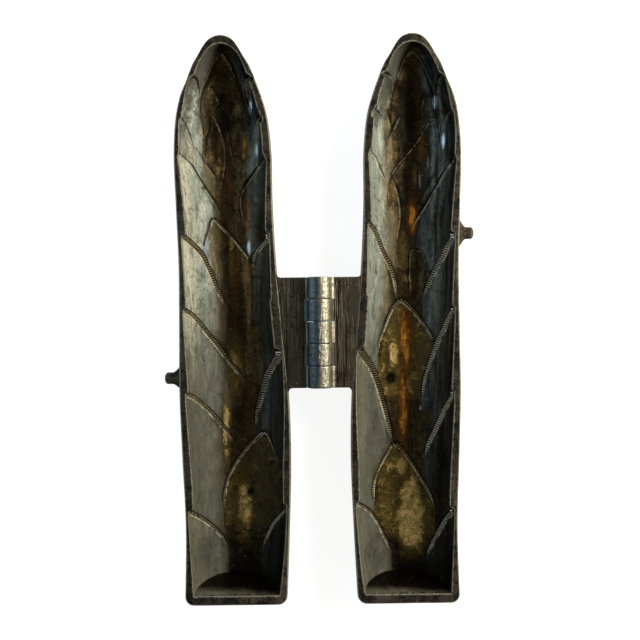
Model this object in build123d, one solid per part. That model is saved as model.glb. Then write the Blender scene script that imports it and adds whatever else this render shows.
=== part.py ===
from build123d import *
import math
import os

os.makedirs("parts", exist_ok=True)

# A cast pewter spear mould in two halves, hinged along one side and opened flat.
# X runs across both halves, +Y towards the tips, +Z out of the cavities, and Z 0 is the table.
# All sizes are millimetres. Each half is drawn on the +X side of the hinge axis, then mirrored if need be.

# Driving dimensions
RIM_Z = 17.3
TIP = (32.1, 95.25)
BASE_Y = -95.25
BASE_HINGE_X = 11.8
BASE_OUTER_X = 45.9
BASE_CORNER_R = 3.0
WALL_DEPTH = 3.0
FLANGE_T = 3.2
FLANGE_LIP = 0.4
RIM_EDGE = 0.35
BASE_STEP = 0.7
BASE_EASE = 1.2

# Hinge: barrel, pin and the two leaves
BARREL_R = 4.1
BARREL_TOP_Y = 14.0
BARREL_FOOT_Y = -23.0
KNUCKLES = 5
KNUCKLE_GAP = 0.1
PIN_R = 2.0
PIN_RUN = 0.05
PIN_SET_BACK = 0.4
AXIS_Z = RIM_Z + 0.05
LEAF_T = 3.2
LEAF_GAP = 0.35
LEAF_LAP = 0.1
SEAM_TOP = (14.1, 16.5)
SEAM_FOOT = (10.5, -25.5)

# Rim outline of one half between the tip and the base: place along Y, hinge side and outer side
RIM = (
    (92.5, 27.0, 37.3),
    (88.4, 24.5, 39.8),
    (80.3, 20.5, 43.5),
    (70.0, 17.1, 46.9),
    (57.0, 15.5, 48.0),
    (38.0, 15.2, 47.5),
    (16.5, 14.1, 46.8),
    (-25.5, 10.5, 47.0),
    (-46.0, 10.0, 46.3),
    (-70.0, 10.7, 45.4),
)

# Cavity of one half: place along Y, centre, half width and depth, straight from row to row
CAVITY = (
    (-97.0, 28.8, 13.9, 13.4),
    (-62.0, 27.8, 14.9, 14.4),
    (-28.0, 28.4, 14.8, 14.4),
    (0.0, 29.8, 13.7, 13.8),
    (28.0, 30.8, 12.8, 13.0),
    (57.0, 31.9, 13.4, 13.1),
    (65.0, 32.0, 12.9, 12.4),
    (74.0, 32.0, 11.1, 11.1),
    (81.0, 32.1, 9.0, 9.2),
    (86.5, 32.0, 6.9, 7.0),
    (90.4, 32.0, 4.3, 4.3),
    (92.2, 32.0, 1.2, 1.4),
)
STEADY_BELOW = 60.0
SIDES = 36
END_RIM_Y = -92.0
END_LEAN = 18.0
FADE_UNDER = 0.03

# Bracts whose point lies on the rim: start of the edge, bend, end, sink at the point, place of the fade
OUTER_BRACTS = (
    ((41.4, 81.2), (39.6, 79.0), (39.4, 72.0), 1.4, 62.0),
    ((45.2, 68.6), (43.0, 65.0), (41.0, 57.0), 1.2, 44.0),
    ((46.0, 56.0), (40.6, 48.0), (32.3, 35.0), 1.4, 20.0),
    ((45.0, 28.0), (39.0, 20.6), (32.2, 5.0), 2.0, -8.0),
    ((45.4, 3.4), (39.2, -5.0), (29.0, -20.0), 1.8, -34.0),
    ((45.4, -24.8), (38.8, -31.6), (31.0, -43.0), 1.6, -58.0),
    ((45.0, -64.0), (38.6, -69.0), (32.8, -77.0), 1.7, -98.0),
)
HINGE_BRACTS = (
    ((22.8, 81.8), (24.6, 79.4), (24.0, 72.0), 1.6, 62.0),
    ((18.4, 70.2), (20.8, 66.0), (22.0, 58.0), 1.2, 46.0),
    ((17.7, 55.6), (20.8, 50.4), (24.4, 43.0), 1.3, 26.0),
    ((15.3, 30.0), (20.2, 24.6), (24.2, 11.0), 1.5, -6.0),
    ((12.8, -10.6), (18.4, -18.8), (23.2, -39.0), 2.2, -50.0),
    ((11.8, -61.8), (17.2, -67.0), (21.8, -77.6), 1.2, -98.0),
)

# Bracts that stand clear of the rim: point, outer bend, outer foot, hinge bend, hinge foot, sink, fade
CROWN = ((31.6, 89.0), (36.4, 81.4), (38.6, 66.0), (27.4, 81.4), (24.4, 66.0), 1.0, 52.0)
LEFT_BRACTS = (
    CROWN,
    ((34.7, 33.6), (37.4, 26.0), (38.4, 21.0), (28.6, 27.2), (19.4, 15.0), 1.2, 0.0),
    ((19.2, -38.0), (28.2, -48.2), (32.6, -63.0), (15.4, -45.6), (13.2, -56.0), 1.2, -76.0),
)
RIGHT_BRACTS = (
    CROWN,
    ((33.0, 23.4), (35.8, 18.0), (33.6, 7.4), (30.6, 18.6), (30.0, 9.0), 1.1, 0.0),
    ((27.3, 5.6), (33.8, -1.4), (38.4, -9.4), (23.0, -1.2), (19.4, -11.4), 1.3, -32.0),
    ((24.4, -42.2), (31.6, -51.4), (38.0, -64.0), (20.0, -49.6), (17.4, -61.0), 1.4, -80.0),
)

RIM_ALL = RIM + ((BASE_Y, BASE_HINGE_X, BASE_OUTER_X),)

# Nose of the outside, past the last rows of RIM: place along Y, half width and depth
NOSE = ((86.5, 8.4, 9.8), (91.6, 5.2, 6.0), (94.4, 1.4, 2.0))

# Thumb lug of each half: root, nose, nose and root along Y, and the place of the nose across X
LEFT_LUG = (-14.6, -17.6, -20.8, -23.4)
RIGHT_LUG = (35.0, 30.2, 26.2, 22.2)
LUG_NOSE_X = 52.0
LUG_NOSE_R = 1.2
LUG_EDGE = 0.4


def at(table, place, column):
    """Value of a column of a table at a place along Y, on straight runs from row to row."""
    rows = sorted(table)
    last = len(rows) - 2
    k = max([i for i in range(last + 1) if rows[i][0] <= place] or [0])
    low, high = rows[k], rows[k + 1]
    return low[column] + (high[column] - low[column]) * (place - low[0]) / (high[0] - low[0])


def oval(place, centre, wide, deep):
    """Closed section across Y, centred in the parting plane: an ellipse drawn with straight sides."""
    plane = Plane(origin=(centre, place, RIM_Z), x_dir=(1, 0, 0), z_dir=(0, -1, 0))
    turns = [2 * math.pi * k / SIDES for k in range(SIDES)]
    points = [(wide * math.cos(turn), deep * math.sin(turn)) for turn in turns]
    return plane * make_face(Polyline(*points, close=True))


def cavity_oval(place, sink=0.0):
    """Section of the cavity, made deeper all round by a bract."""
    centre, wide, deep = [at(CAVITY, place, column) for column in (1, 2, 3)]
    return oval(place, centre, wide + sink, deep + sink)


def stalk():
    """Tapering body that the cavity is cut with, before the bracts."""
    return loft([cavity_oval(row[0]) for row in CAVITY], ruled=True)


def layer(top, foot, sink):
    """Stretch of stalk that is thicker by sink at its top and fades into the stalk at its foot."""
    start = min(top + 2.0, CAVITY[-1][0])
    between = [row[0] for row in reversed(CAVITY) if max(foot, STEADY_BELOW) < row[0] < start]
    rows = [start] + between + [foot]
    return loft([cavity_oval(p, sink * (p - foot) / (top - foot) - FADE_UNDER) for p in rows], ruled=True)


def column(edges):
    """Upright column over a closed flat outline, from the table to above the rim."""
    return extrude(make_face(edges), RIM_Z + 1.0)


def rim_bract(bract, outward):
    """Layer of a bract whose point lies on the rim: outward is 1 on the outer side and -1 at the hinge."""
    start, bend, end, sink, fade = bract
    beyond = start[0] + outward * 6.0
    edge = Spline(start, bend, end)
    rest = Polyline(end, (end[0], fade), (beyond, fade), (beyond, start[1] + 1.0), start)
    return layer(start[1], fade, sink) & column([edge] + rest.edges())


def free_bract(bract):
    """Layer of a bract whose point lies clear of the rim."""
    point, outer_bend, outer_foot, hinge_bend, hinge_foot, sink, fade = bract
    outer = Spline(point, outer_bend, outer_foot)
    hinge = Spline(point, hinge_bend, hinge_foot)
    rest = Polyline(outer_foot, (outer_foot[0], fade), (hinge_foot[0], fade), hinge_foot)
    return layer(point[1], fade, sink) & column([outer, hinge] + rest.edges())


def hollows(free_bracts):
    """Bodies cut from one half, each ending at the leaning end wall: the stalk, then its bracts."""
    end = Box(80, 40, 80, align=(Align.MIN, Align.MAX, Align.CENTER))
    end = Pos(0, END_RIM_Y, RIM_Z) * Rot(X=END_LEAN) * end
    bodies = [stalk()]
    bodies += [rim_bract(bract, 1) for bract in OUTER_BRACTS]
    bodies += [rim_bract(bract, -1) for bract in HINGE_BRACTS]
    bodies += [free_bract(bract) for bract in free_bracts]
    return [body - end for body in bodies]


def arcs(points):
    """Arcs through a chain of points, one for every two steps of the chain."""
    return [ThreePointArc(*points[i:i + 3]) for i in range(0, len(points) - 2, 2)]


def rim_outline():
    """Flat outline of the rim, straight where the hinge leaf is soldered on and rounded at the base."""
    outer = [TIP] + [(row[2], row[0]) for row in RIM]
    outer_foot = (BASE_OUTER_X, BASE_Y)
    above = [TIP] + [(row[1], row[0]) for row in RIM if row[0] > SEAM_TOP[1]]
    below = [SEAM_FOOT] + [(row[1], row[0]) for row in RIM if row[0] < SEAM_FOOT[1]]
    base_hinge = (BASE_HINGE_X, BASE_Y)
    edges = arcs(outer) + [Line(outer[-1], outer_foot), Line(outer_foot, base_hinge)]
    edges += arcs(above) + [Line(above[-1], SEAM_TOP), Line(SEAM_TOP, SEAM_FOOT)]
    edges += arcs(below) + [Line(below[-1], base_hinge)]
    face = make_face(edges)
    corners = face.vertices().filter_by_position(Axis.Y, BASE_Y - 0.1, BASE_Y + 0.1)
    return fillet(corners, BASE_CORNER_R)


def lug_outline(lug):
    """Flat outline of a thumb lug, with its root inside the rim."""
    root_top, nose_top, nose_foot, root_foot = lug
    middle = (root_top + root_foot) / 2
    edge = at(RIM, middle, 2)
    inside = edge - 1.5
    face = make_face(Polyline(
        (inside, root_top), (edge, root_top), (LUG_NOSE_X, nose_top), (LUG_NOSE_X, nose_foot),
        (edge, root_foot), (inside, root_foot), close=True))
    tips = face.vertices().filter_by_position(Axis.X, LUG_NOSE_X - 0.1, LUG_NOSE_X + 0.1)
    return fillet(tips, LUG_NOSE_R)


def back():
    """Outside of one half below the flange: a smooth belly, eased at the base and flat where it rests."""
    foot = BASE_Y + BASE_STEP
    rows = [(foot, BASE_EASE), (foot + BASE_EASE, 0.0)]
    rows += [(row[0], 0.0) for row in CAVITY if BASE_Y < row[0] < NOSE[0][0]]
    sections = []
    for place, ease in rows:
        near = at(RIM_ALL, place, 1) + FLANGE_LIP
        far = at(RIM_ALL, place, 2) - FLANGE_LIP
        deep = at(CAVITY, place, 3) + WALL_DEPTH
        sections.append(oval(place, (near + far) / 2, (far - near) / 2 - ease, deep - ease))
    for place, wide, deep in NOSE:
        sections.append(oval(place, TIP[0], wide, deep))
    kept = Box(80, 220, RIM_Z - 0.5, align=(Align.MIN, Align.CENTER, Align.MIN))
    return loft(sections, ruled=True) & kept


def half(free_bracts, lug):
    """One half mould with its flange, lug, end wall and cavity. The flange's top edge is eased by a
    tapered layer, which comes out below the outline and is turned over."""
    lug_plate = extrude(lug_outline(lug), FLANGE_T)
    lug_plate = chamfer(lug_plate.edges().group_by(Axis.Z)[-1], LUG_EDGE)
    outline = rim_outline()
    flange = extrude(outline, FLANGE_T - RIM_EDGE)
    eased = mirror(extrude(outline, RIM_EDGE, taper=45), Plane.XY)
    flange += Pos(0, 0, FLANGE_T - RIM_EDGE) * eased
    solid = Pos(0, 0, RIM_Z - FLANGE_T) * (flange + lug_plate)
    solid += back()
    for body in hollows(free_bracts):
        solid -= body
    return solid


def knuckle_spans(odd):
    """Ends along Y of the knuckles of one leaf: the odd ones are 1, 3 and 5, counted from the tip."""
    pitch = (BARREL_TOP_Y - BARREL_FOOT_Y) / KNUCKLES
    spans = []
    for i in range(KNUCKLES):
        if (i % 2 == 0) == odd:
            top = BARREL_TOP_Y - i * pitch - (KNUCKLE_GAP / 2 if i > 0 else 0)
            foot = BARREL_TOP_Y - (i + 1) * pitch + (KNUCKLE_GAP / 2 if i < KNUCKLES - 1 else 0)
            spans.append((foot, top))
    return spans


def hollow_corner(seam_end, leaf_y):
    """Hollow arc from the end of the seam to the leaf's straight edge at leaf_y."""
    reach = abs(seam_end[1] - leaf_y)
    start = (seam_end[0] - reach - 0.2, leaf_y)
    bow = 0.2 if leaf_y < seam_end[1] else -0.2
    middle = ((seam_end[0] + start[0]) / 2 + 0.2, (seam_end[1] + leaf_y) / 2 - bow)
    return start, ThreePointArc(start, middle, seam_end)


def leaf(odd):
    """Hinge leaf with its knuckles: a flat plate from the seam to an edge that laps under the barrel."""
    hollow_r = BARREL_R + LEAF_GAP
    edge_x = BARREL_R - LEAF_LAP
    top, top_corner = hollow_corner(SEAM_TOP, BARREL_TOP_Y)
    foot, foot_corner = hollow_corner(SEAM_FOOT, BARREL_FOOT_Y)
    rest = Polyline(top, (edge_x, BARREL_TOP_Y), (edge_x, BARREL_FOOT_Y), foot)
    plate = make_face([Line(SEAM_FOOT, SEAM_TOP), top_corner, foot_corner] + rest.edges())
    solid = Pos(0, 0, RIM_Z - LEAF_T) * extrude(plate, LEAF_T)
    solid -= Plane(origin=(0, 0, AXIS_Z), z_dir=(0, 1, 0)) * Cylinder(hollow_r, 100)
    for foot, top in knuckle_spans(odd):
        axis = Plane(origin=(0, (foot + top) / 2, AXIS_Z), z_dir=(0, 1, 0))
        web = Box(hollow_r + 1.0, top - foot, LEAF_T, align=(Align.MIN, Align.CENTER, Align.MAX))
        solid += Pos(0, (foot + top) / 2, RIM_Z) * web
        solid += axis * Cylinder(BARREL_R, top - foot)
    bore = Plane(origin=(0, 0, AXIS_Z), z_dir=(0, 1, 0)) * Cylinder(PIN_R + PIN_RUN, 100)
    return solid - bore


def pin():
    """Hinge pin, set back a little from both ends of the barrel."""
    length = BARREL_TOP_Y - BARREL_FOOT_Y - 2 * PIN_SET_BACK
    middle = (BARREL_TOP_Y + BARREL_FOOT_Y) / 2
    return Plane(origin=(0, middle, AXIS_Z), z_dir=(0, 1, 0)) * Cylinder(PIN_R, length)


def save(solid, name):
    """Write one node as a STEP file of its own."""
    solid.label = name
    export_step(solid, f"parts/{name}.step")


def main():
    """Build the five nodes and write them."""
    save(mirror(half(LEFT_BRACTS, LEFT_LUG), Plane.YZ), "left_shell")
    save(half(RIGHT_BRACTS, RIGHT_LUG), "right_shell")
    save(mirror(leaf(False), Plane.YZ), "left_hinge_leaf")
    save(leaf(True), "right_hinge_leaf")
    save(pin(), "hinge_pin")


main()
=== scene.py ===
"""Hinged pewter spear mould, opened flat: castings with their bract relief, the hinge and the studio."""
import math
from types import SimpleNamespace

import bmesh
import bpy
import numpy as np
from bpy.props import FloatProperty, FloatVectorProperty, IntProperty, PointerProperty
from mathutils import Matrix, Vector


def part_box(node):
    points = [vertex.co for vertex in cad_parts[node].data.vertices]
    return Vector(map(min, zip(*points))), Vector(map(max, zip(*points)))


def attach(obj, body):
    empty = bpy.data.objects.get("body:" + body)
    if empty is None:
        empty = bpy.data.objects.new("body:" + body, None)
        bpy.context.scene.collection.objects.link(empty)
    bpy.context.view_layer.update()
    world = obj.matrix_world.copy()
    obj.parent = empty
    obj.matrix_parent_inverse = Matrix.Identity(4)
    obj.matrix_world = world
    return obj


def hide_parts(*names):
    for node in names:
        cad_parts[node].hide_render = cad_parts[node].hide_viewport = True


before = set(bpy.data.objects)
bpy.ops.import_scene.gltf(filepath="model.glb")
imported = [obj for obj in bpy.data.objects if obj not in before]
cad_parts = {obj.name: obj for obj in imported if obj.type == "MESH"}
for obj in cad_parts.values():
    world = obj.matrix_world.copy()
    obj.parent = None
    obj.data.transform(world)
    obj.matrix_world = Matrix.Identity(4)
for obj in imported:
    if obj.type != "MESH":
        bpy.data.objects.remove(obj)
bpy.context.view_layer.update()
SHELL_LOW, SHELL_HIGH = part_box("right_shell")

# A millimetre in metres, the distance at which points are joined, and the angle from which an edge is sharp
MM = 0.001
WELD = 2e-6
SHARP_FROM = math.radians(38.0)

bl_info = {
    "name": "Hinged spear mould",
    "version": (1, 0, 0),
    "blender": (4, 5, 0),
    "location": "3D View > Sidebar > Mould",
    "description": "Builds the two cast halves of a spear mould with their hinge and studio",
    "category": "Object",
}

# Sizes of one half in millimetres, as in the CAD source: level of the rims, the two ends, the base wall's
# inner edge and lean, the flange's thickness, the base's corners and easing, and the belly's step in from
# the flange
RIM_Z = SHELL_HIGH[2] / MM
TIP_Y = SHELL_HIGH[1] / MM
BASE_Y = SHELL_LOW[1] / MM
END_RIM_Y = -92.0
END_LEAN = math.radians(18.0)
FLANGE_T = 3.2
BASE_CORNER_R = 3.0
BASE_EASE = 1.2
LIP = 0.7

# Profile of the rim: rounds at the cavity, outside and along the flange's lower edge, the places of the
# points on its flat as shares of it, and the place of the point on the flange's side as a share of its
# thickness
ROUND_IN, ROUND_OUT, ROUND_LOW = 0.3, 0.5, 0.4
FLATS, SIDE = np.array((0.33, 0.66)), 0.55

# Angles in degrees from the end of the base corner to its start, one for each row of points round it
CORNER_ROWS = np.linspace(90.0, 10.0, 9)

# Places along Y: where the nose starts, the stretch where the rows of cavity and rim match, and where the
# rows start to lean with the base wall
NOSE_Y = 76.0
MATCH_LOW, MATCH_HIGH = -86.0, 70.0
LEAN_Y = -78.0

# Rim outline: place along Y, hinge side and outer side
RIM = np.array((
    (95.25, 32.1, 32.1), (93.7, 28.0, 36.2), (91.0, 26.0, 38.3), (88.4, 24.5, 39.8), (85.7, 22.8, 41.4),
    (80.3, 20.5, 43.5), (75.0, 18.6, 45.7), (70.0, 17.1, 46.9), (57.0, 15.5, 48.0), (38.0, 15.2, 47.5),
    (16.5, 14.1, 46.8), (-4.5, 12.3, 46.9), (-25.5, 10.5, 47.0), (-46.0, 10.0, 46.3), (-70.0, 10.7, 45.4),
    (-95.25, 11.8, 45.9)))

# Cavity: place along Y, centre, half width and depth
CAVITY = np.array((
    (-97.0, 28.8, 13.9, 13.4), (-80.0, 28.1, 14.6, 14.1), (-62.0, 27.8, 14.9, 14.4),
    (-28.0, 28.4, 14.8, 14.4), (0.0, 29.8, 13.7, 13.8), (28.0, 30.8, 12.8, 13.0), (50.0, 31.6, 13.1, 13.0),
    (57.0, 31.9, 13.4, 13.1), (65.0, 32.0, 12.9, 12.4), (74.0, 32.0, 11.1, 11.1), (81.0, 32.1, 9.0, 9.2),
    (86.5, 32.0, 6.9, 7.0), (90.4, 32.0, 4.3, 4.3), (92.2, 32.0, 0.0, 0.0)))

# Half width that the chart of the cavity keeps at the tip, and how often a seen place is moved closer
LEAST_WIDE, SEEN_TRIES = 0.3, 12

# Depth of the belly below the rim: place along Y and depth
BELLY = np.array((
    (-95.25, 16.6), (-62.0, 17.5), (-28.0, 17.5), (0.0, 16.9), (28.0, 16.1), (50.0, 15.9), (65.0, 15.2),
    (74.0, 13.9), (81.0, 12.0), (86.5, 9.8), (90.0, 7.6), (93.0, 5.0), (95.25, FLANGE_T)))

# Worked edges of the bracts: width of a punched band and pitch of its rungs; the groove outside it, the
# ridge inside it and a crease, each its height, its distance from the edge and its width; how far to each
# side an edge and a crease are marked; and the distance that stands for no edge nearby
LADDER, RUNG_PITCH = 0.95, 0.84
GROOVE, RIDGE, CREASE = (0.16, -0.3, 0.3), (0.22, 0.25, 0.34), (0.7, 0.0, 0.36)
EDGE_ZONE, CREASE_ZONE = 2.4, 1.2
FAR = 9.0

# How clear an edge has to be before it is marked; the least width of a step's slope and how much wider than
# its band the slope is; and how far off its middle and how clearly a crease is marked
LEAST_SHOWN = 0.01
STEP_WIDE, STEP_OVER = 0.5, 0.1
CREASE_OFF, CREASE_SHOWN = 0.1, 0.6

# Feet of the bracts: how far an edge runs on past its rim, the width over which a bract fades sideways and
# how far beyond its edge that starts, the shares of an edge's length over which its work runs out at a free
# bract's feet and at a rim bract's foot, and how quickly a bract covers what it overlaps
PAST_RIM, SIDE_FADE, SIDE_OVER = 2.0, 3.5, 0.3
FREE_FOOT, RIM_FOOT = 0.12, 0.18
COVER_GAIN = 6.0

# Marks of the nearest edge, and all the numbers that every point keeps for the finish
MARKS = ("across", "along", "edge", "rungs")
ATTRIBUTES = MARKS + ("rim", "wear", "pale", "slate", "gold", "orange", "blue", "dark_tone_and_shade")

# Bracts, from tip to base: kind, edge points (distance from the hinge axis, place along Y), sink, the place
# where it has faded out, how strongly the edge is punched, and its tone. An outer or hinge bract starts on
# its rim; a free one runs from its hinge-side foot over its point to the other foot. A crease is only a
# fine line with a strength for the sink. These points, the lumps and the stains are given as the camera
# sees them on the level of the rims.
LEFT_BRACTS = (
    ("free", ((24.2, 64.0), (24.4, 71.0), (25.5, 76.6), (27.4, 81.4), (29.6, 86.4), (31.6, 89.0),
              (33.6, 87.0), (36.4, 81.4), (38.4, 76.2), (38.8, 70.0), (37.8, 62.0)), 1.1, 50.0, 0.0, "brown"),
    ("outer", ((41.2, 81.4), (40.0, 80.8), (39.3, 77.8), (39.4, 73.0), (41.4, 67.6)), 1.5, 60.0, 0.0, "thin"),
    ("hinge", ((22.8, 81.8), (23.9, 80.0), (24.0, 76.1), (22.4, 69.6)), 1.9, 60.0, 0.0, "slate"),
    ("crease", ((29.8, 78.3), (31.3, 75.2), (33.2, 70.2), (35.0, 65.4), (36.4, 60.2), (37.2, 54.0)),
     0.40, 0.0, 0.0),
    ("crease", ((34.6, 78.4), (33.4, 75.4), (32.2, 72.4)), 0.3, 0.0, 0.0),
    ("crease", ((34.5, 69.0), (32.0, 63.0), (30.6, 57.0), (30.8, 50.0), (32.2, 44.0)), 0.26, 0.0, 0.0),
    ("crease", ((27.8, 72.0), (29.6, 66.0), (29.0, 58.0), (27.2, 51.0)), 0.26, 0.0, 0.0),
    ("outer", ((45.0, 68.6), (43.8, 66.4), (42.6, 62.8), (41.0, 57.0)), 1.3, 44.0, 0.0, "sliver"),
    ("hinge", ((18.2, 70.0), (19.9, 67.6), (21.0, 63.1), (21.6, 57.8)), 1.2, 46.0, 0.0, "slate"),
    ("crease", ((40.7, 58.1), (38.5, 54.2), (35.9, 50.5), (34.0, 47.6)), 0.3, 0.0, 0.0),
    ("outer", ((46.0, 56.2), (42.8, 53.3), (39.2, 47.2), (35.0, 40.1), (32.3, 35.6)),
     1.5, 20.0, 0.15, "pale"),
    ("hinge", ((17.6, 55.0), (20.6, 50.7), (23.3, 46.2), (25.9, 41.0), (25.4, 34.0), (24.7, 30.0)),
     1.4, 24.0, 0.03, "dusk"),
    ("free", ((19.0, 14.3), (22.2, 18.6), (25.4, 22.9), (29.2, 27.8), (32.0, 30.7), (34.7, 33.6),
              (36.0, 29.9), (37.4, 26.1), (38.4, 22.0)), 1.2, 0.0, 0.6, "olive"),
    ("outer", ((45.0, 28.0), (43.2, 27.0), (41.2, 24.9), (38.4, 21.5), (36.3, 16.3), (33.8, 9.6),
               (30.6, 3.6)), 2.1, -8.0, 1.0, "pale"),
    ("hinge", ((15.3, 28.8), (17.6, 26.6), (19.8, 24.4), (21.2, 22.0), (22.4, 18.0)),
     1.6, -4.0, 0.6, "slate"),
    ("outer", ((45.0, 3.4), (42.4, 2.2), (39.9, -0.6), (37.5, -4.1), (34.2, -8.6), (30.9, -13.3),
               (27.5, -17.5), (24.0, -21.7)), 1.9, -34.0, 1.0, "pale"),
    ("hinge", ((12.8, -10.4), (14.2, -11.6), (16.0, -14.7), (17.8, -18.1), (19.3, -23.4), (20.8, -29.6),
               (22.2, -36.5)), 2.5, -50.0, 1.0, "slate"),
    ("outer", ((45.2, -24.6), (42.4, -25.6), (40.0, -27.4), (37.4, -29.9), (33.9, -34.2), (30.9, -37.9),
               (28.4, -41.4)), 1.6, -58.0, 1.0, "thin"),
    ("free", ((13.1, -56.5), (13.8, -50.8), (14.9, -47.1), (17.0, -42.0), (19.2, -38.0), (22.4, -40.4),
              (26.8, -45.6), (30.4, -52.0), (32.2, -58.5), (32.6, -64.0)), 1.2, -76.0, 0.75, "amber"),
    ("outer", ((44.8, -63.8), (41.4, -65.2), (37.8, -67.6), (34.4, -70.9), (30.9, -75.4)),
     1.7, -96.0, 0.7, "pale"),
    ("hinge", ((11.6, -61.8), (13.6, -64.6), (16.0, -67.3), (18.1, -71.1), (20.2, -76.6)),
     1.3, -96.0, 0.5, "slate"),
)
RIGHT_BRACTS = (
    ("free", ((24.0, 64.0), (24.6, 71.0), (25.8, 77.0), (27.6, 82.4), (29.4, 86.8), (31.6, 89.2),
              (34.0, 87.2), (36.8, 81.6), (38.6, 76.0), (39.0, 70.0), (38.4, 62.0)), 0.9, 50.0, 0.0, "ember"),
    ("outer", ((41.2, 81.4), (40.4, 80.4), (39.7, 77.0), (39.6, 72.0), (39.9, 66.0)),
     1.4, 60.0, 0.0, "slate"),
    ("hinge", ((22.8, 82.2), (24.4, 81.2), (25.6, 78.6), (25.4, 74.0), (24.0, 69.4)), 1.7, 60.0, 0.0, "thin"),
    ("crease", ((27.6, 68.0), (25.8, 64.0), (24.2, 60.6), (22.8, 56.0)), 0.34, 0.0, 0.0),
    ("crease", ((30.4, 76.0), (31.8, 71.0), (33.6, 66.4), (33.0, 62.0), (30.4, 57.0)), 0.28, 0.0, 0.0),
    ("crease", ((35.4, 74.0), (34.4, 69.0), (35.8, 64.0)), 0.28, 0.0, 0.0),
    ("crease", ((39.0, 69.6), (39.8, 63.0), (39.4, 57.0), (38.0, 52.0)), 0.3, 0.0, 0.0),
    ("outer", ((45.0, 69.6), (43.4, 68.8), (41.9, 66.2), (41.0, 61.0), (40.8, 57.0)),
     1.2, 46.0, 0.0, "slate"),
    ("hinge", ((18.4, 70.8), (20.6, 68.8), (21.8, 64.5), (22.4, 58.6)), 1.2, 46.0, 0.0, "thin"),
    ("outer", ((37.6, 66.4), (35.6, 62.8), (33.5, 59.5), (29.2, 54.0), (25.6, 49.7), (23.0, 44.6)),
     0.6, 36.0, 0.03, "ember"),
    ("hinge", ((17.7, 56.6), (20.2, 53.2), (21.4, 49.3), (23.0, 44.6)), 1.3, 30.0, 0.1, "thin"),
    ("crease", ((24.6, 48.0), (27.0, 41.0), (27.6, 33.0), (26.4, 26.0)), 0.24, 0.0, 0.0),
    ("crease", ((39.4, 49.6), (36.2, 43.0), (33.4, 37.4), (30.8, 32.0), (28.3, 27.0)), 0.26, 0.0, 0.0),
    ("outer", ((46.0, 54.4), (43.2, 51.0), (41.2, 47.6), (39.3, 44.1), (37.3, 40.5), (35.2, 36.8),
               (32.4, 32.3), (30.3, 27.4)), 1.5, 16.0, 0.15, "night"),
    ("free", ((30.2, 7.0), (30.0, 17.0), (31.3, 23.0), (33.6, 22.6), (35.5, 19.4), (35.8, 15.0),
              (34.5, 9.6), (32.2, 5.6)), 1.2, 2.0, 0.0, "ember"),
    ("outer", ((45.2, 28.2), (43.6, 26.1), (42.2, 23.6), (41.0, 20.6), (38.6, 15.8), (35.9, 9.7),
               (34.2, 6.0)), 2.1, -8.0, 1.0, "night"),
    ("hinge", ((15.2, 31.6), (18.4, 30.4), (20.0, 26.6), (21.3, 22.8), (23.8, 16.7), (25.3, 10.5),
               (25.9, 5.0)), 1.5, -6.0, 0.9, "thin"),
    ("free", ((19.2, -11.8), (20.4, -7.5), (21.8, -4.1), (24.0, 1.4), (25.4, 4.0), (27.3, 5.6), (29.7, 3.7),
              (32.1, 0.9), (34.2, -2.1), (36.4, -5.6), (38.4, -9.4)), 1.3, -32.0, 1.0, "orange"),
    ("outer", ((45.6, 3.4), (43.6, 1.9), (42.1, -1.0), (40.9, -4.2), (38.4, -9.8), (36.4, -15.4),
               (34.7, -21.7), (33.6, -28.4)), 1.8, -34.0, 1.0, "night"),
    ("hinge", ((12.6, -10.6), (14.4, -11.2), (16.0, -13.5), (17.8, -16.7), (19.3, -21.6), (21.3, -30.2),
               (23.0, -38.0), (24.4, -43.0)), 2.5, -50.0, 1.0, "pale"),
    ("outer", ((45.8, -24.6), (43.8, -25.4), (42.6, -27.7), (41.2, -30.3), (38.4, -36.8), (36.0, -42.0),
               (34.2, -47.4)), 1.6, -58.0, 1.0, "night"),
    ("free", ((17.6, -62.4), (17.4, -57.6), (19.0, -51.8), (20.7, -48.3), (22.5, -45.1), (24.4, -42.2),
              (27.2, -44.6), (29.2, -47.4), (32.9, -53.6), (36.2, -59.7), (38.0, -64.0)),
     1.4, -80.0, 0.9, "gold"),
    ("outer", ((45.0, -64.0), (42.8, -65.3), (41.2, -67.1), (38.9, -71.0), (37.0, -74.7), (34.4, -79.8)),
     1.7, -96.0, 0.8, "night"),
    ("hinge", ((11.8, -61.6), (14.6, -63.0), (17.0, -65.2), (18.8, -68.1), (21.1, -73.3), (23.4, -78.6)),
     1.3, -96.0, 0.5, "pale"),
)

# Unevenness of the hand-finished metal, each its height and the size of its waves: cavity, lumpier tip, rim
# and leaf; where the lumpy tip starts and the run over which it builds up; and the run below the cavity's
# tip over which the relief ends. An unevenness is a sum of several waves of unlike lengths, and one turn of
# a wave is a little over six.
CAVITY_WAVES, TIP_WAVES, RIM_WAVES, LEAF_WAVES = (0.10, 9.0), (0.16, 5.0), (0.05, 14.0), (0.03, 7.0)
WAVE_COUNT, WAVE_SPREAD, WAVE_TURN = 6, (0.6, 1.6), 6.28
LUMPY_FROM, LUMPY_RUN = 42.0, 12.0
RELIEF_END = 6.0

# Base wall inside, in painted light and shade: how pale it is at the rim, the depth over which that painted
# light falls by one, how much it changes from side to side, and its slate, which is painted shade
WALL_PALE, WALL_FALL, WALL_TURN, WALL_SLATE = 0.35, 8.0, 0.2, -0.8

# How rubbed the rim is at each point of its profile, from the cavity to the belly
RIM_WEAR = (0.3, 0.8, 1.0, 0.6, 0.1, 0.1, 0.4, 0.9, 1.0, 0.8, 0.4, 0.1, 0.3, 0.3, 0.1, 0.0)
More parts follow.
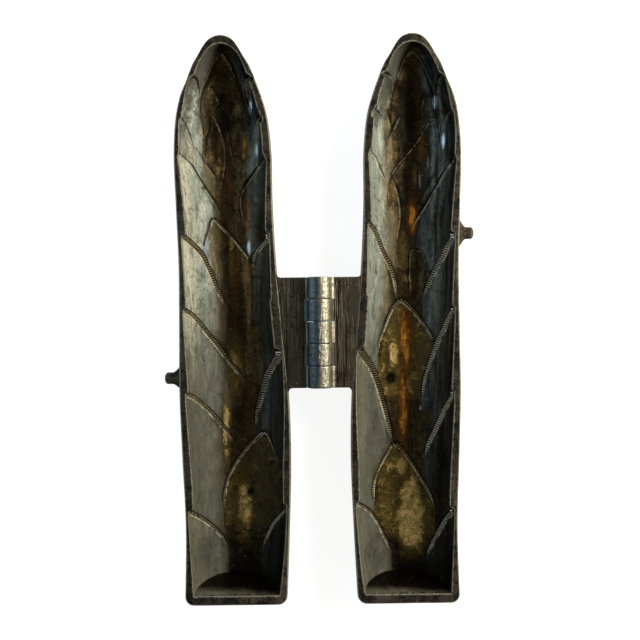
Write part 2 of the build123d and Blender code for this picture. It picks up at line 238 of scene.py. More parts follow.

# Tones: how far the pale metal comes down the wall on the left, which is painted light of the key lamp, where
# the slate wall on the right begins, which is painted shade (both from -1 at the left rim to 1 at the right
# rim), and how golden the bract is
TONES = {
    "plain": (-0.45, 0.62, 0.0), "pale": (-0.24, 0.66, 0.0), "thin": (-0.50, 0.50, 0.0),
    "brown": (-0.72, 0.72, 0.0), "dusk": (-0.60, 0.50, 0.0), "olive": (-0.40, 0.66, 0.1),
    "slate": (-0.40, 0.34, 0.0), "night": (-0.60, 0.18, 0.0), "ember": (-0.80, 0.42, 0.0),
    "orange": (-0.95, 0.30, 0.45), "gold": (-1.1, 0.60, 0.42), "amber": (-1.1, 0.16, 0.34),
    "sliver": (-0.70, 0.60, 0.0),
}

# Dents and lumps inside: place, half sizes and height out of the surface
LEFT_LUMPS = ((31.6, 82.0, 1.3, 3.0, 0.7), (35.6, 73.0, 1.6, 4.0, 0.5), (30.6, 70.0, 1.5, 4.0, 0.5),
              (24.8, 44.0, 1.6, 6.0, 0.5), (33.0, 60.0, 1.6, 5.0, 0.4), (27.0, 60.0, 1.4, 5.0, 0.5),
              (23.6, -57.3, 0.9, 1.2, -0.5), (36.0, 64.0, 1.4, 5.0, -0.4))
RIGHT_LUMPS = ((28.0, 79.0, 1.4, 3.0, 0.5), (33.6, 71.0, 1.5, 4.0, 0.6), (29.5, 66.0, 1.6, 4.0, -0.5),
               (36.2, 58.0, 1.6, 5.0, 0.6), (26.4, 55.0, 1.4, 5.0, 0.5), (31.6, 46.0, 1.6, 5.0, 0.5),
               (24.0, -20.3, 1.2, 1.6, -0.9), (30.2, -58.0, 2.0, 3.2, 0.6), (32.8, -68.0, 1.2, 5.0, 0.5),
               (29.6, 14.0, 1.4, 1.6, -0.4))

# Thumb lugs: top and foot at the flange with those of the nose between them, along Y, and the nose's reach
LEFT_LUG = (-14.5, -17.3, -21.2, -23.5)
RIGHT_LUG = (35.0, 30.2, 26.2, 22.2)
LUG_NOSE_X = 52.0

# Hinge: its axis runs along Y, just above the rims, and its knuckles are counted from the tip. LEAF_CLEAR
# is the room between a plate and the other leaf's knuckles. The seam is where a leaf meets its half, with a
# flare of LEAF_CORNER at its ends, and the plate runs on past it by SEAM_OVER.
LEAF_LOW, LEAF_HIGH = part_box("right_hinge_leaf")
BARREL_R = -LEAF_LOW[0] / MM
AXIS_Z = LEAF_HIGH[2] / MM - BARREL_R
BORE_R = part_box("hinge_pin")[1][0] / MM + 0.05
BARREL_TOP_Y, BARREL_FOOT_Y = 14.0, -23.0
KNUCKLES = 5
KNUCKLE_GAP = 0.1
KNUCKLE_ROUND, KNUCKLE_FILLET = 0.22, 0.8
LEAF_T = 3.2
LEAF_CLEAR = 0.35
LEAF_CORNER = 1.3
LEAF_ROUND = 0.3
SEAM_TOP_X, SEAM_FOOT_X = 14.1, 10.5
SEAM_OVER = 0.6

# Leaf plate: how far its top lies below the rims, the degrees round the barrel at which its hollow starts,
# the run over which a scored groove ends, and the depth at which one is fully dark
LEAF_DOWN = 0.03
HOLLOW_FROM = 64.0
GROOVE_RUN, GROOVE_DARK = 1.5, 0.16

# Points along and across the leaf plate, round a barrel, along and round a lug, and up the base wall
LEAF_LONG, LEAF_WIDE, BARREL_ROUND, LUG_LONG, LUG_ROUND, WALL_HIGH = 120, 70, 96, 16, 41, 12

# Grooves scored along the leaves: distance from the hinge axis, half width, depth, lower and upper end
LEFT_GROOVES = ((5.2, 0.14, 0.10, -23.0, 14.0), (6.1, 0.10, 0.07, -4.0, 14.0), (7.0, 0.12, 0.06, -20.0, 9.0))
RIGHT_GROOVES = ((4.9, 0.16, 0.16, -23.0, 14.0), (5.5, 0.12, 0.10, -18.0, 12.0), (6.3, 0.20, 0.22, 1.0, 14.0),
                 (6.9, 0.10, 0.08, -21.0, 8.0), (7.8, 0.16, 0.18, 4.0, 14.0), (8.6, 0.10, 0.06, -19.0, 1.0))

# Stains of the floors: place, half sizes and strength, in the plan of one half. The blue ones are painted
# highlights, and the dark ones are partly painted shade, at the base end, in the dents and deep in the tips,
# and partly a darker tone.
LEFT_STAINS = {
    "gold": ((25.6, -62.0, 3.4, 13.0, 0.8), (31.5, -36.0, 1.6, 14.0, 0.8), (28.0, -16.0, 3.6, 12.0, 0.62),
             (29.0, 22.0, 1.6, 14.0, 0.5), (24.6, 56.0, 1.2, 4.0, 0.6)),
    "orange": ((28.0, 16.0, 1.6, 16.0, 0.35), (29.6, 46.0, 1.6, 9.0, 0.4), (24.4, 58.0, 0.9, 3.4, 0.7),
               (24.0, 34.0, 1.6, 10.0, 0.45)),
    "blue": ((22.2, 70.6, 0.7, 3.2, 1.0), (20.2, 56.4, 0.6, 2.6, 1.0), (23.2, 24.0, 0.9, 3.2, 0.9),
             (37.4, 25.0, 0.9, 4.4, 0.9)),
    "dark_tone_and_shade": ((23.6, -57.3, 1.4, 1.4, 1.0), (31.0, 66.0, 4.6, 12.0, 0.55), (20.0, 8.0, 4.0, 22.0, 0.6),
             (26.0, 0.0, 2.4, 16.0, 0.5), (23.0, -84.0, 9.0, 5.0, 0.8), (20.0, 30.0, 4.0, 12.0, 0.6),
             (38.4, 2.0, 5.0, 22.0, 0.36), (38.0, -78.0, 6.0, 14.0, 0.46)),
}
RIGHT_STAINS = {
    "gold": ((30.0, -65.0, 5.0, 15.0, 1.15), (27.0, -50.0, 3.0, 6.0, 0.7), (24.6, -12.0, 2.2, 6.0, 0.9),
             (28.0, 22.0, 2.6, 9.0, 0.45), (34.6, 56.0, 1.2, 5.0, 0.5)),
    "orange": ((28.7, -7.0, 2.1, 13.0, 0.85), (27.5, -30.0, 1.8, 18.0, 0.82), (31.4, 34.0, 1.8, 6.5, 0.85),
               (30.0, 12.0, 1.2, 8.0, 0.3), (34.8, 58.0, 1.0, 7.0, 0.4)),
    "blue": ((39.2, 72.0, 0.8, 2.6, 1.0), (42.0, 59.0, 0.7, 3.0, 1.0), (36.8, 52.0, 0.8, 5.0, 0.5),
             (33.4, -30.0, 0.8, 1.6, 0.6), (40.6, 12.0, 1.8, 8.0, 0.3), (34.0, 46.0, 0.5, 5.0, 0.6)),
    "dark_tone_and_shade": ((23.6, -20.0, 2.0, 2.4, 1.0), (29.4, 66.0, 4.4, 17.0, 0.95), (22.6, -14.0, 1.6, 10.0, 0.5),
             (33.4, -56.0, 2.0, 9.0, 0.5), (33.0, -84.0, 9.0, 5.0, 0.8), (28.0, 44.0, 4.0, 14.0, 0.6),
             (18.0, -36.0, 4.0, 18.0, 0.42), (18.0, -78.0, 5.0, 14.0, 0.46), (26.4, 24.0, 3.0, 8.0, 0.4)),
}


def smooth(x):
    """Smoothstep: 0 below 0, 1 above 1, and 3x^2 - 2x^3 between."""
    x = np.clip(x, 0.0, 1.0)
    return x * x * (3.0 - 2.0 * x)


def quarter(count):
    """Even angles of a quarter round, as many as count."""
    return np.radians(np.linspace(0.0, 90.0, count))


def curve_at(knots, values, place):
    """Cubic Hermite through (knots, values), its slope at each knot taken from the knots on both sides."""
    order = np.argsort(knots)
    t, v = knots[order], values[order]
    slope = np.gradient(v, t)
    k = np.clip(np.searchsorted(t, place) - 1, 0, len(t) - 2)
    span = t[k + 1] - t[k]
    u = np.clip((place - t[k]) / span, 0.0, 1.0)
    h00 = (1 + 2 * u) * (1 - u) ** 2
    h10 = u * (1 - u) ** 2
    h01 = u * u * (3 - 2 * u)
    h11 = u * u * (u - 1)
    return h00 * v[k] + h10 * span * slope[k] + h01 * v[k + 1] + h11 * span * slope[k + 1]


def from_tip(y):
    """Square root of the distance below the tip, in which a round nose is nearly a straight line."""
    return np.sqrt(np.maximum(TIP_Y - y, 0.0))


def rim_sides(y):
    """Hinge-side and outer edge of the rim at y, curves in the square root of the distance below the
    tip."""
    knots = from_tip(RIM[:, 0])
    place = from_tip(y)
    near, far = curve_at(knots, RIM[:, 1], place), curve_at(knots, RIM[:, 2], place)
    inset = np.clip(BASE_CORNER_R - (y - BASE_Y), 0.0, BASE_CORNER_R)
    round_off = BASE_CORNER_R - np.sqrt(np.maximum(BASE_CORNER_R ** 2 - inset ** 2, 0.0))
    return near + round_off, far - round_off


def section(y):
    """Centre, half width and depth of the cavity's ellipse at y."""
    tip = CAVITY[-1, 0]
    knots, place = np.sqrt(tip - CAVITY[:, 0]), np.sqrt(np.maximum(tip - y, 0.0))
    return [curve_at(knots, CAVITY[:, k], place) for k in (1, 2, 3)]


def spline_points(points, count=48):
    """Even points along a smooth curve through a few given ones, measured by chord length."""
    p = np.array(points, dtype=float)
    t = np.concatenate(([0.0], np.cumsum(np.hypot(*np.diff(p, axis=0).T))))
    s = np.linspace(0.0, t[-1], count)
    return np.stack([curve_at(t, p[:, 0], s), curve_at(t, p[:, 1], s)], axis=1)


def seen_to_plan(points):
    """Points as the camera sees them on the level of the rims, moved out along its rays to the cavity's
    surface: the plan point is the seen one times 1 + depth / camera height, found by repeating it from
    depth 0."""
    seen = np.array(points, dtype=float)
    height = bpy.context.scene.mould_stage.camera_height / MM
    grow = np.ones((len(seen), 1))
    for _ in range(SEEN_TRIES):
        x, y = (seen * grow).T
        centre, wide, deep = section(y)
        across = np.clip((x - centre) / np.maximum(wide, LEAST_WIDE), -1.0, 1.0)
        depth = deep * np.sqrt(1.0 - across * across)
        grow = (grow + 1.0 + depth[:, None] / height) / 2.0
    return seen * grow


def to_chart(x, y):
    """Plan point to chart point: arc length across the cavity from its outer rim, and place along Y."""
    centre, wide, deep = section(y)
    wide = np.maximum(wide, LEAST_WIDE)
    angle = np.arccos(np.clip((x - centre) / wide, -1.0, 1.0))
    return angle * (wide + deep) / 2.0, y


class Bract:
    """Edge of one bract on the chart of the cavity, with its sink and the place where it fades."""

    def __init__(self, kind, points, sink, foot, punched, tone="plain"):
        plan = seen_to_plan(spline_points(points))
        self.kind, self.sink, self.foot, self.punched, self.tone = kind, sink, foot, punched, TONES[tone]
        self.top = plan[:, 1].max()
        self.a, self.y = to_chart(plan[:, 0], plan[:, 1])
        if kind in ("outer", "hinge"):
            past = -PAST_RIM if kind == "outer" else PAST_RIM
            self.a = np.concatenate(([self.a[0] + past], self.a))
            self.y = np.concatenate(([self.y[0]], self.y))
        self.s = np.concatenate(([0.0], np.cumsum(np.hypot(np.diff(self.a), np.diff(self.y)))))

    def nearest(self, a, y):
        """Distance to the edge polyline and place along it: the least over its straight runs."""
        best = np.full(a.shape, 1e9)
        along = np.zeros(a.shape)
        for k in range(len(self.a) - 1):
            da, dy = self.a[k + 1] - self.a[k], self.y[k + 1] - self.y[k]
            span = max(da * da + dy * dy, 1e-9)
            t = np.clip(((a - self.a[k]) * da + (y - self.y[k]) * dy) / span, 0.0, 1.0)
            d = np.hypot(a - self.a[k] - t * da, y - self.y[k] - t * dy)
            closer = d < best
            best = np.where(closer, d, best)
            along = np.where(closer, self.s[k] + t * math.sqrt(span), along)
        return best, along

    def beneath(self, a, y):
        """True where a line towards the tip crosses the edge an odd number of times."""
        odd = np.zeros(a.shape, dtype=bool)
        for k in range(len(self.a) - 1):
            a0, a1, y0, y1 = self.a[k], self.a[k + 1], self.y[k], self.y[k + 1]
            if a0 != a1:
                over = y0 + (a - a0) * (y1 - y0) / (a1 - a0)
                odd ^= ((a0 <= a) != (a1 <= a)) & (y < over)
        return odd

    def measure(self, a, y):
        """Signed distance (positive inside), place along the edge and sideways fade at a chart point."""
        d, s = self.nearest(a, y)
        inside = self.beneath(a, y)
        low, high = self.a.min(), self.a.max()
        side = np.ones(a.shape)
        if self.kind != "hinge":
            side = side * smooth((high - a + SIDE_OVER) / SIDE_FADE)
        if self.kind != "outer":
            side = side * smooth((a - low + SIDE_OVER) / SIDE_FADE)
        return np.where(inside, d, -d), s, side

    def shown(self, s):
        """How strongly the edge is worked at a place along it: it runs out at its feet."""
        total = self.s[-1]
        if self.kind in ("free", "crease"):
            return smooth(s / (FREE_FOOT * total)) * smooth((total - s) / (FREE_FOOT * total))
        return smooth((total - s) / (RIM_FOOT * total))


def row_places():
    """Rows along the rim outline: even angles round the base corner, even steps up to the nose, and then
    even steps of the root of the distance below the tip."""
    sheet = bpy.context.scene.mould_casting
    corner = BASE_Y + BASE_CORNER_R * (1.0 - np.sin(np.radians(CORNER_ROWS)))
    straight = np.linspace(BASE_Y + BASE_CORNER_R, NOSE_Y, sheet.straight_rows, endpoint=False)
    root = np.linspace(math.sqrt(TIP_Y - NOSE_Y), 0.0, sheet.nose_rows)
    return np.concatenate((corner, straight, TIP_Y - root ** 2))


def cavity_place(y):
    """Place in the cavity that faces a place on the rim outline: drawn in at both ends."""
    tip = CAVITY[-1, 0]
    near_tip = MATCH_HIGH + (y - MATCH_HIGH) * (tip - MATCH_HIGH) / (TIP_Y - MATCH_HIGH)
    near_base = MATCH_LOW + (y - MATCH_LOW) * (END_RIM_Y - MATCH_LOW) / (BASE_Y - MATCH_LOW)
    return np.where(y > MATCH_HIGH, near_tip, np.where(y < MATCH_LOW, near_base, y))


class MeshParts:
    """Gathers grids of points and faces into one mesh, with the finish's numbers on every point."""

    def __init__(self):
        self.points, self.faces, self.total = [], [], 0
        self.tones = {name: [] for name in ATTRIBUTES}

    def add(self, xyz, **tones):
        """Add a grid of points (rows, columns, 3) and give back its grid of point numbers."""
        shape = xyz.shape[:2]
        ids = np.arange(shape[0] * shape[1]).reshape(shape) + self.total
        self.points.append(xyz.reshape(-1, 3))
        for name in ATTRIBUTES:
            value = tones.get(name, FAR if name == "across" else 0.0)
            self.tones[name].append(np.broadcast_to(value, shape).reshape(-1))
        self.total += ids.size
        return ids

    def quads(self, ids):
        """Four-sided faces over a grid of point numbers."""
        four = np.stack([ids[:-1, :-1], ids[1:, :-1], ids[1:, 1:], ids[:-1, 1:]], axis=-1)
        self.faces.extend(four.reshape(-1, 4).tolist())

    def object(self, name, mirror):
        """Join the grids, mirror them for the left half, close the seams and turn all faces outwards."""
        points = np.concatenate(self.points) * MM
        if mirror:
            points = points * np.array((-1.0, 1.0, 1.0))
        mesh = bpy.data.meshes.new(name)
        mesh.from_pydata(points, [], self.faces)
        for label, values in self.tones.items():
            layer = mesh.attributes.new(label, "FLOAT", "POINT")
            layer.data.foreach_set("value", np.concatenate(values).astype(np.float32))
        work = bmesh.new()
        work.from_mesh(mesh)
        bmesh.ops.remove_doubles(work, verts=work.verts, dist=WELD)
        bmesh.ops.recalc_face_normals(work, faces=work.faces)
        work.to_mesh(mesh)
        work.free()
        mesh.shade_smooth()
        mesh.set_sharp_from_angle(angle=SHARP_FROM)
        piece = bpy.data.objects.new(name, mesh)
        bpy.context.scene.collection.objects.link(piece)
        return piece


def bead(d, shape):
    """Rounded groove or ridge across an edge: height times exp(-((d - place) / width)^2)."""
    height, place, width = shape
    return height * np.exp(-((d - place) / width) ** 2)


def relief(bracts, theta, y):
    """Depth of the bracts below the plain stalk, the tones, and the marks of the nearest edge: the distance
    across it, the place along it, how clear it is and how strongly it is punched. Each bract is a step that
    is deepest at its point and fades to its foot; a punched edge slopes down over its band, with a narrow
    ridge inside it; lower bracts cover higher ones. A crease is a narrow groove alone."""
    _, wide, deep = section(y)
    a = theta * (wide + deep) / 2.0
    depth, worked = np.zeros(theta.shape), np.zeros(theta.shape)
    tones = np.zeros(theta.shape + (3,)) + TONES["plain"]
    marks = np.zeros((len(MARKS),) + theta.shape)
    marks[0] = FAR
    for bract in bracts:
        d, s, side = bract.measure(a, y)
        strength = bract.shown(s)
        if bract.kind == "crease":
            worked = worked + bract.sink * bead(d, CREASE) * strength
            zone = (np.abs(d) < CREASE_ZONE) & (strength > LEAST_SHOWN)
            crease = np.stack([d - CREASE_OFF, s, strength * CREASE_SHOWN, 0.0 * s])
            marks = np.where(zone, crease, marks)
            continue
        fade = np.clip((y - bract.foot) / (bract.top - bract.foot), 0.0, 1.0)
        band = LADDER * bract.punched * strength
        step = smooth((d + band / 2.0) / np.maximum(band + STEP_OVER, STEP_WIDE) + 0.5)
        depth = np.maximum(depth, bract.sink * fade * side * step)
        cover = step * smooth(side * COVER_GAIN) * smooth(fade * COVER_GAIN)
        worked = worked * (1.0 - cover) + (bead(d + band, GROOVE) - bead(d, RIDGE)) * strength
        tones = tones + (np.array(bract.tone) - tones) * cover[..., None]
        covered = cover > 0.5
        marks[0, covered] = FAR
        marks[2:, covered] = 0.0
        zone = (np.abs(d) < EDGE_ZONE) & (strength > LEAST_SHOWN)
        marks = np.where(zone, np.stack([d, s, strength, strength * bract.punched]), marks)
    return depth + worked, tones, dict(zip(MARKS, marks))


def soft_ovals(x, y, spots):
    """One field for every soft oval (x, y, half sizes, strength), at plan points: strength times
    exp(-(dx / rx)^2 - (dy / ry)^2)."""
    centres = seen_to_plan([spot[:2] for spot in spots])
    for (cx, cy), (_, _, rx, ry, strength) in zip(centres, spots):
        yield strength * np.exp(-((x - cx) / rx) ** 2 - ((y - cy) / ry) ** 2)


def waves(x, y, seed, wave):
    """Slow unevenness of a hand-finished casting, about as high as wave says either way: a quarter of the
    sum of six sine waves of seeded directions and lengths."""
    height, size = wave
    chance = np.random.default_rng(seed)
    total = np.zeros(np.broadcast(x, y).shape)
    for _ in range(WAVE_COUNT):
        turn, phase = chance.uniform(0, 2 * math.pi), chance.uniform(0, WAVE_TURN)
        scale = chance.uniform(*WAVE_SPREAD) * WAVE_TURN / size
        total = total + np.sin((x * math.cos(turn) + y * math.sin(turn)) * scale + phase)
    return height * total / 4.0


def lean(y, depth):
    """Place along Y once the base wall leans: rows past LEAN_Y are drawn up to the leaning plane."""
    end = END_RIM_Y + depth * math.tan(END_LEAN)
    return np.where(y < LEAN_Y, LEAN_Y + (y - LEAN_Y) * (LEAN_Y - end) / (LEAN_Y - END_RIM_Y), y)


def cavity_surface(bracts, lumps, theta, y, seed):
    """Cavity as a grid over the angle round the section and the row: an ellipse whose half width and depth
    grow by the relief, drawn in to a point at the tip and up to the leaning wall at the base."""
    angle, row = np.meshgrid(theta, y)
    centre, wide, deep = section(row)
    place = lean(row, ROUND_IN + deep * np.sin(angle))
    centre, wide, deep = section(place)
    sunk, tones, marks = relief(bracts, angle, place)
    plan = centre + wide * np.cos(angle)
    for lump in soft_ovals(plan, place, lumps):
        sunk = sunk - lump
    tip = smooth((place - LUMPY_FROM) / LUMPY_RUN)
    uneven = waves(plan, place, seed, CAVITY_WAVES) + tip * waves(plan, place * 0.5, seed + 5, TIP_WAVES)
    sunk = (sunk + uneven * np.sin(angle)) * np.clip((CAVITY[-1, 0] - place) / RELIEF_END, 0.0, 1.0)
    depth = ROUND_IN + np.maximum(deep + sunk - ROUND_IN, 0.0) * np.sin(angle)
    x = centre + (wide + sunk) * np.cos(angle)
    xyz = np.stack([x, lean(row, depth), RIM_Z - depth], axis=-1)
    return xyz, tones, marks


def outline_normals(edge, outward):
    """Unit normals in plan along one side of the rim outline, straight along Y at its two ends."""
    run = np.gradient(edge, axis=0)
    normal = np.stack([run[:, 1], -run[:, 0]], axis=1) * outward
    normal = normal / np.linalg.norm(normal, axis=1, keepdims=True)
    normal[0], normal[-1] = (0.0, -1.0), (0.0, 1.0)
    return normal


def rim_profile(inner, outer, normal, seed):
    """Rim and flange as a profile carried along the outline: a small round at the cavity, a flat, a larger
    round outside, the flange's side and its underside up to the belly."""
    reach = outer - inner[:, :2]
    length = np.linalg.norm(reach, axis=1, keepdims=True)
    way = reach / length
    fine, bend, low = quarter(4), quarter(5), quarter(3)
    u_in, z_in = ROUND_IN * (1 - np.cos(fine)), -ROUND_IN * (1 - np.sin(fine))
    u_out, z_out = ROUND_OUT * (np.sin(bend) - 1), -ROUND_OUT * (1 - np.cos(bend))
    u_low, z_low = -ROUND_LOW * (1 - np.cos(low)), -FLANGE_T + ROUND_LOW - ROUND_LOW * np.sin(low)
    u = np.concatenate([
        np.broadcast_to(u_in, (len(length), len(fine))),
        ROUND_IN + (length - ROUND_IN - ROUND_OUT) * FLATS, length + u_out, length, length + u_low], axis=1)
    z = np.concatenate((z_in, 0.0 * FLATS, z_out, (-FLANGE_T * SIDE,), z_low))
    xy = inner[:, None, :2] + way[:, None, :] * u[:, :, None]
    level = waves(xy[..., 0], xy[..., 1], seed, RIM_WAVES) * (np.abs(z) < ROUND_IN)
    xyz = np.concatenate([xy, (RIM_Z - np.maximum(-z - level, 0.0))[..., None]], axis=-1)
    belly = np.concatenate([outer - LIP * normal, np.full((len(outer), 1), RIM_Z - FLANGE_T)], axis=1)
    return np.concatenate([xyz, belly[:, None, :]], axis=1)


def belly_surface(outer, hinge, psi, y):
    """Outside below the flange: half an ellipse from rim to rim in every row, as deep as the cavity and its
    wall, dying into the flange at the tip, rounded at the base and flat where it rests on the table."""
    deep = curve_at(from_tip(BELLY[:, 0]), BELLY[:, 1], from_tip(y)) - FLANGE_T
    into = np.clip(BASE_EASE - (outer[:, 1] - outer[0, 1]), 0.0, BASE_EASE)
    inset = BASE_EASE - np.sqrt(BASE_EASE ** 2 - into ** 2)
    middle, half = (outer + hinge) / 2.0, (outer - hinge) / 2.0
    sine, cosine = np.sin(psi)[None, :], np.cos(psi)[None, :]
    wide = np.maximum(np.abs(half[:, 0:1]) - inset[:, None] * sine, 0.0) * np.sign(half[:, 0:1] + 1e-9)
    x = middle[:, 0:1] + wide * cosine
    along = middle[:, 1:2] + half[:, 1:2] * cosine
    z = RIM_Z - FLANGE_T - np.maximum(deep - inset, 0.0)[:, None] * sine
    return np.stack([x, along, np.maximum(z, 0.0)], axis=-1)


def lug_surface(lug, edge_x, nose_x):
    """Thumb lug: a rounded-rectangle section carried outwards from inside the flange, narrowing from its
    filleted root to its blunt nose and closed by a round end."""
    top, nose_top, nose_foot, foot = lug
    root_in, blunt_from, squareness = 1.6, 0.82, 0.55
    thick_root, thick_loss, root_fillet, end_least = 1.35, 0.25, 0.6, 0.45
    blunt = np.sin(np.radians(np.linspace(9, 90, 10)))
    u = np.concatenate((np.linspace(0.0, blunt_from, LUG_LONG), blunt_from + (1.0 - blunt_from) * blunt))
    v = np.linspace(0.0, 2 * math.pi, LUG_ROUND)
    grow = np.clip((u - blunt_from) / (1.0 - blunt_from), 0.0, 1.0)
    end = np.sqrt(1.0 - grow ** 2)
    blend = smooth(u / root_fillet)
    middle = (top + foot) / 2 + ((nose_top + nose_foot) / 2 - (top + foot) / 2) * blend
    half_root, half_nose = (top - foot) / 2, (nose_top - nose_foot) / 2
    half = half_root * (1 - blend) + half_nose * blend
    half = half * (end_least + (1 - end_least) * end) * end ** 0.5
    thick = (thick_root - thick_loss * u) * end
    wave = [np.sign(turn) * np.abs(turn) ** squareness for turn in (np.cos(v), np.sin(v))]
    x = (edge_x - root_in) + (nose_x - edge_x + root_in) * u
    y = middle[:, None] + half[:, None] * wave[0][None, :]
    z = RIM_Z - root_in + thick[:, None] * wave[1][None, :]
    return np.stack([np.broadcast_to(x[:, None], y.shape), y, z], axis=-1)


def knuckle_section():
    """Section of a knuckle as a ring of points (away from the axis, up): a hollow fillet up from the leaf's
    top, the round of the barrel, the leaf's underside and a tail that lies inside the plate."""
    rise = RIM_Z - AXIS_Z + KNUCKLE_FILLET
    reach = math.sqrt((BARREL_R + KNUCKLE_FILLET) ** 2 - rise ** 2)
    start = math.atan2(rise, reach)
    under = RIM_Z - LEAF_T - AXIS_Z
    turn = np.linspace(1.5 * math.pi, math.pi + start, 9)
    up = np.stack([reach, rise]) + KNUCKLE_FILLET * np.stack([np.cos(turn), np.sin(turn)], axis=1)
    turn = np.linspace(start, 2 * math.pi + math.asin(under / BARREL_R), BARREL_ROUND)[1:]
    barrel = BARREL_R * np.stack([np.cos(turn), np.sin(turn)], axis=1)
    tail = np.array(((BARREL_R + 0.1, under), (reach + 0.3, under + 0.2), (reach + 0.3, -0.3), up[0]))
    return np.concatenate((up, barrel, tail))


def knuckle_surface(foot, top):
    """Knuckle between two places along Y: the section carried along the barrel and drawn in by a quarter
    round at both ends, closed by the flat ends and the bore."""
    ring = knuckle_section()
    size = np.linalg.norm(ring, axis=1)
    unit = ring / size[:, None]
    turn = quarter(4)
    drawn, step = KNUCKLE_ROUND * (1 - np.sin(turn)), KNUCKLE_ROUND * (1 - np.cos(turn))
    between = np.linspace(0.1, 0.9, 9)
    inset = np.concatenate((drawn, 0.0 * between, drawn[::-1]))
    y = np.concatenate((foot + step, foot + (top - foot) * between, top - step[::-1]))
    radius = size[None, :] - inset[:, None]
    radius = np.concatenate((np.full((1, len(size)), BORE_R), radius, np.full((2, len(size)), BORE_R)))
    y = np.concatenate(((foot,), y, (top, foot)))[:, None] + 0.0 * radius
    flat = radius[..., None] * unit[None]
    return np.stack([flat[..., 0], y, AXIS_Z + flat[..., 1]], axis=-1)


def plate_surface(grooves, seed):
    """Leaf plate: a bar's rounded section across Y, carried from under the barrel out to the seam. Its top
    is hollow round the barrel and scored along Y, and its ends flare by a quarter round to the rim."""
    hollow = BARREL_R + LEAF_CLEAR
    near = hollow * np.sin(np.radians(np.linspace(HOLLOW_FROM, 90.0, 9)))
    part = np.linspace(0.0, 1.0, LEAF_LONG)[1:]
    sides = []
    for seam_x, end_y, way in ((SEAM_FOOT_X, BARREL_FOOT_Y, -1.0), (SEAM_TOP_X, BARREL_TOP_Y, 1.0)):
        x = np.concatenate((near, hollow + (seam_x + SEAM_OVER - hollow) * part))
        s = np.clip((x - seam_x) / LEAF_CORNER + 1.0, 0.0, 1.0)
        sides.append(np.stack([x, end_y + way * LEAF_CORNER * (1.0 - np.sqrt(1.0 - s * s))], axis=1))
    foot, top = sides
    turn = quarter(4)[1:]
    bend, drop = LEAF_ROUND * (np.sin(turn) - 1.0), LEAF_ROUND * (np.cos(turn) - 1.0)
    across, turns = np.linspace(0.0, 1.0, LEAF_WIDE), len(turn)
    # Ring of the section: share of the way from foot to top, shift along Y, share of the height, shift in Z
    share = np.concatenate((across, np.ones(2 * turns), np.zeros(2 * turns + 1)))
    shift = np.concatenate((LEAF_ROUND * (1 - 2 * across), bend, bend[::-1], -bend, -bend[::-1],
                            (LEAF_ROUND,)))
    high = np.concatenate((np.ones(LEAF_WIDE + turns), np.zeros(2 * turns), np.ones(turns + 1)))
    lift = np.concatenate((0.0 * across, drop, -drop[::-1], -drop, drop[::-1], (0.0,)))
    xy = foot[None] * (1 - share)[:, None, None] + top[None] * share[:, None, None]
    x, y = xy[..., 0], xy[..., 1] + shift[:, None]
    scored = np.zeros(x.shape)
    for place, half, depth, low_y, high_y in grooves:
        ends = smooth((y - low_y) / GROOVE_RUN + 0.5) * smooth((high_y - y) / GROOVE_RUN + 0.5)
        scored = scored + depth * ends * np.exp(-((x - place) / half) ** 2)
    level = np.minimum(RIM_Z - LEAF_DOWN, AXIS_Z - np.sqrt(np.maximum(hollow ** 2 - x * x, 0.0)))
    level = level - (scored + LEAF_WAVES[0] + waves(x, y, seed, LEAF_WAVES)) * (x > hollow)
    bottom = RIM_Z - LEAF_T
    z = bottom + (level - bottom) * high[:, None] + lift[:, None]
    return np.stack([x, y, z], axis=-1), np.clip(scored / GROOVE_DARK, 0.0, 1.0)


def build_leaf(name, spans, grooves, mirror, seed):
    """One leaf of the hinge: its plate and its knuckles, closed surfaces that overlap where they join."""
    parts = MeshParts()
    plate, scored = plate_surface(grooves, seed)
    ids = parts.add(plate, edge=scored)
    parts.quads(ids)
    for column in (0, -1):
        parts.faces.append(ids[:-1, column].tolist())
    for foot, top in spans:
        parts.quads(parts.add(knuckle_surface(foot, top), rim=1.0))
    return parts.object(name, mirror)


def knuckle_spans(first):
    """Foot and top along Y of every second knuckle, counted from the tip and starting at first."""
    pitch = (BARREL_TOP_Y - BARREL_FOOT_Y) / KNUCKLES
    tops = BARREL_TOP_Y - pitch * np.arange(first, KNUCKLES, 2)
    return [(top - pitch + KNUCKLE_GAP / 2, top - KNUCKLE_GAP / 2) for top in tops.tolist()]


def stain(x, y, spots):
    """Strength of the stains at a plan point: the greatest of several soft ovals."""
    return np.maximum.reduce(list(soft_ovals(x, y, spots)))


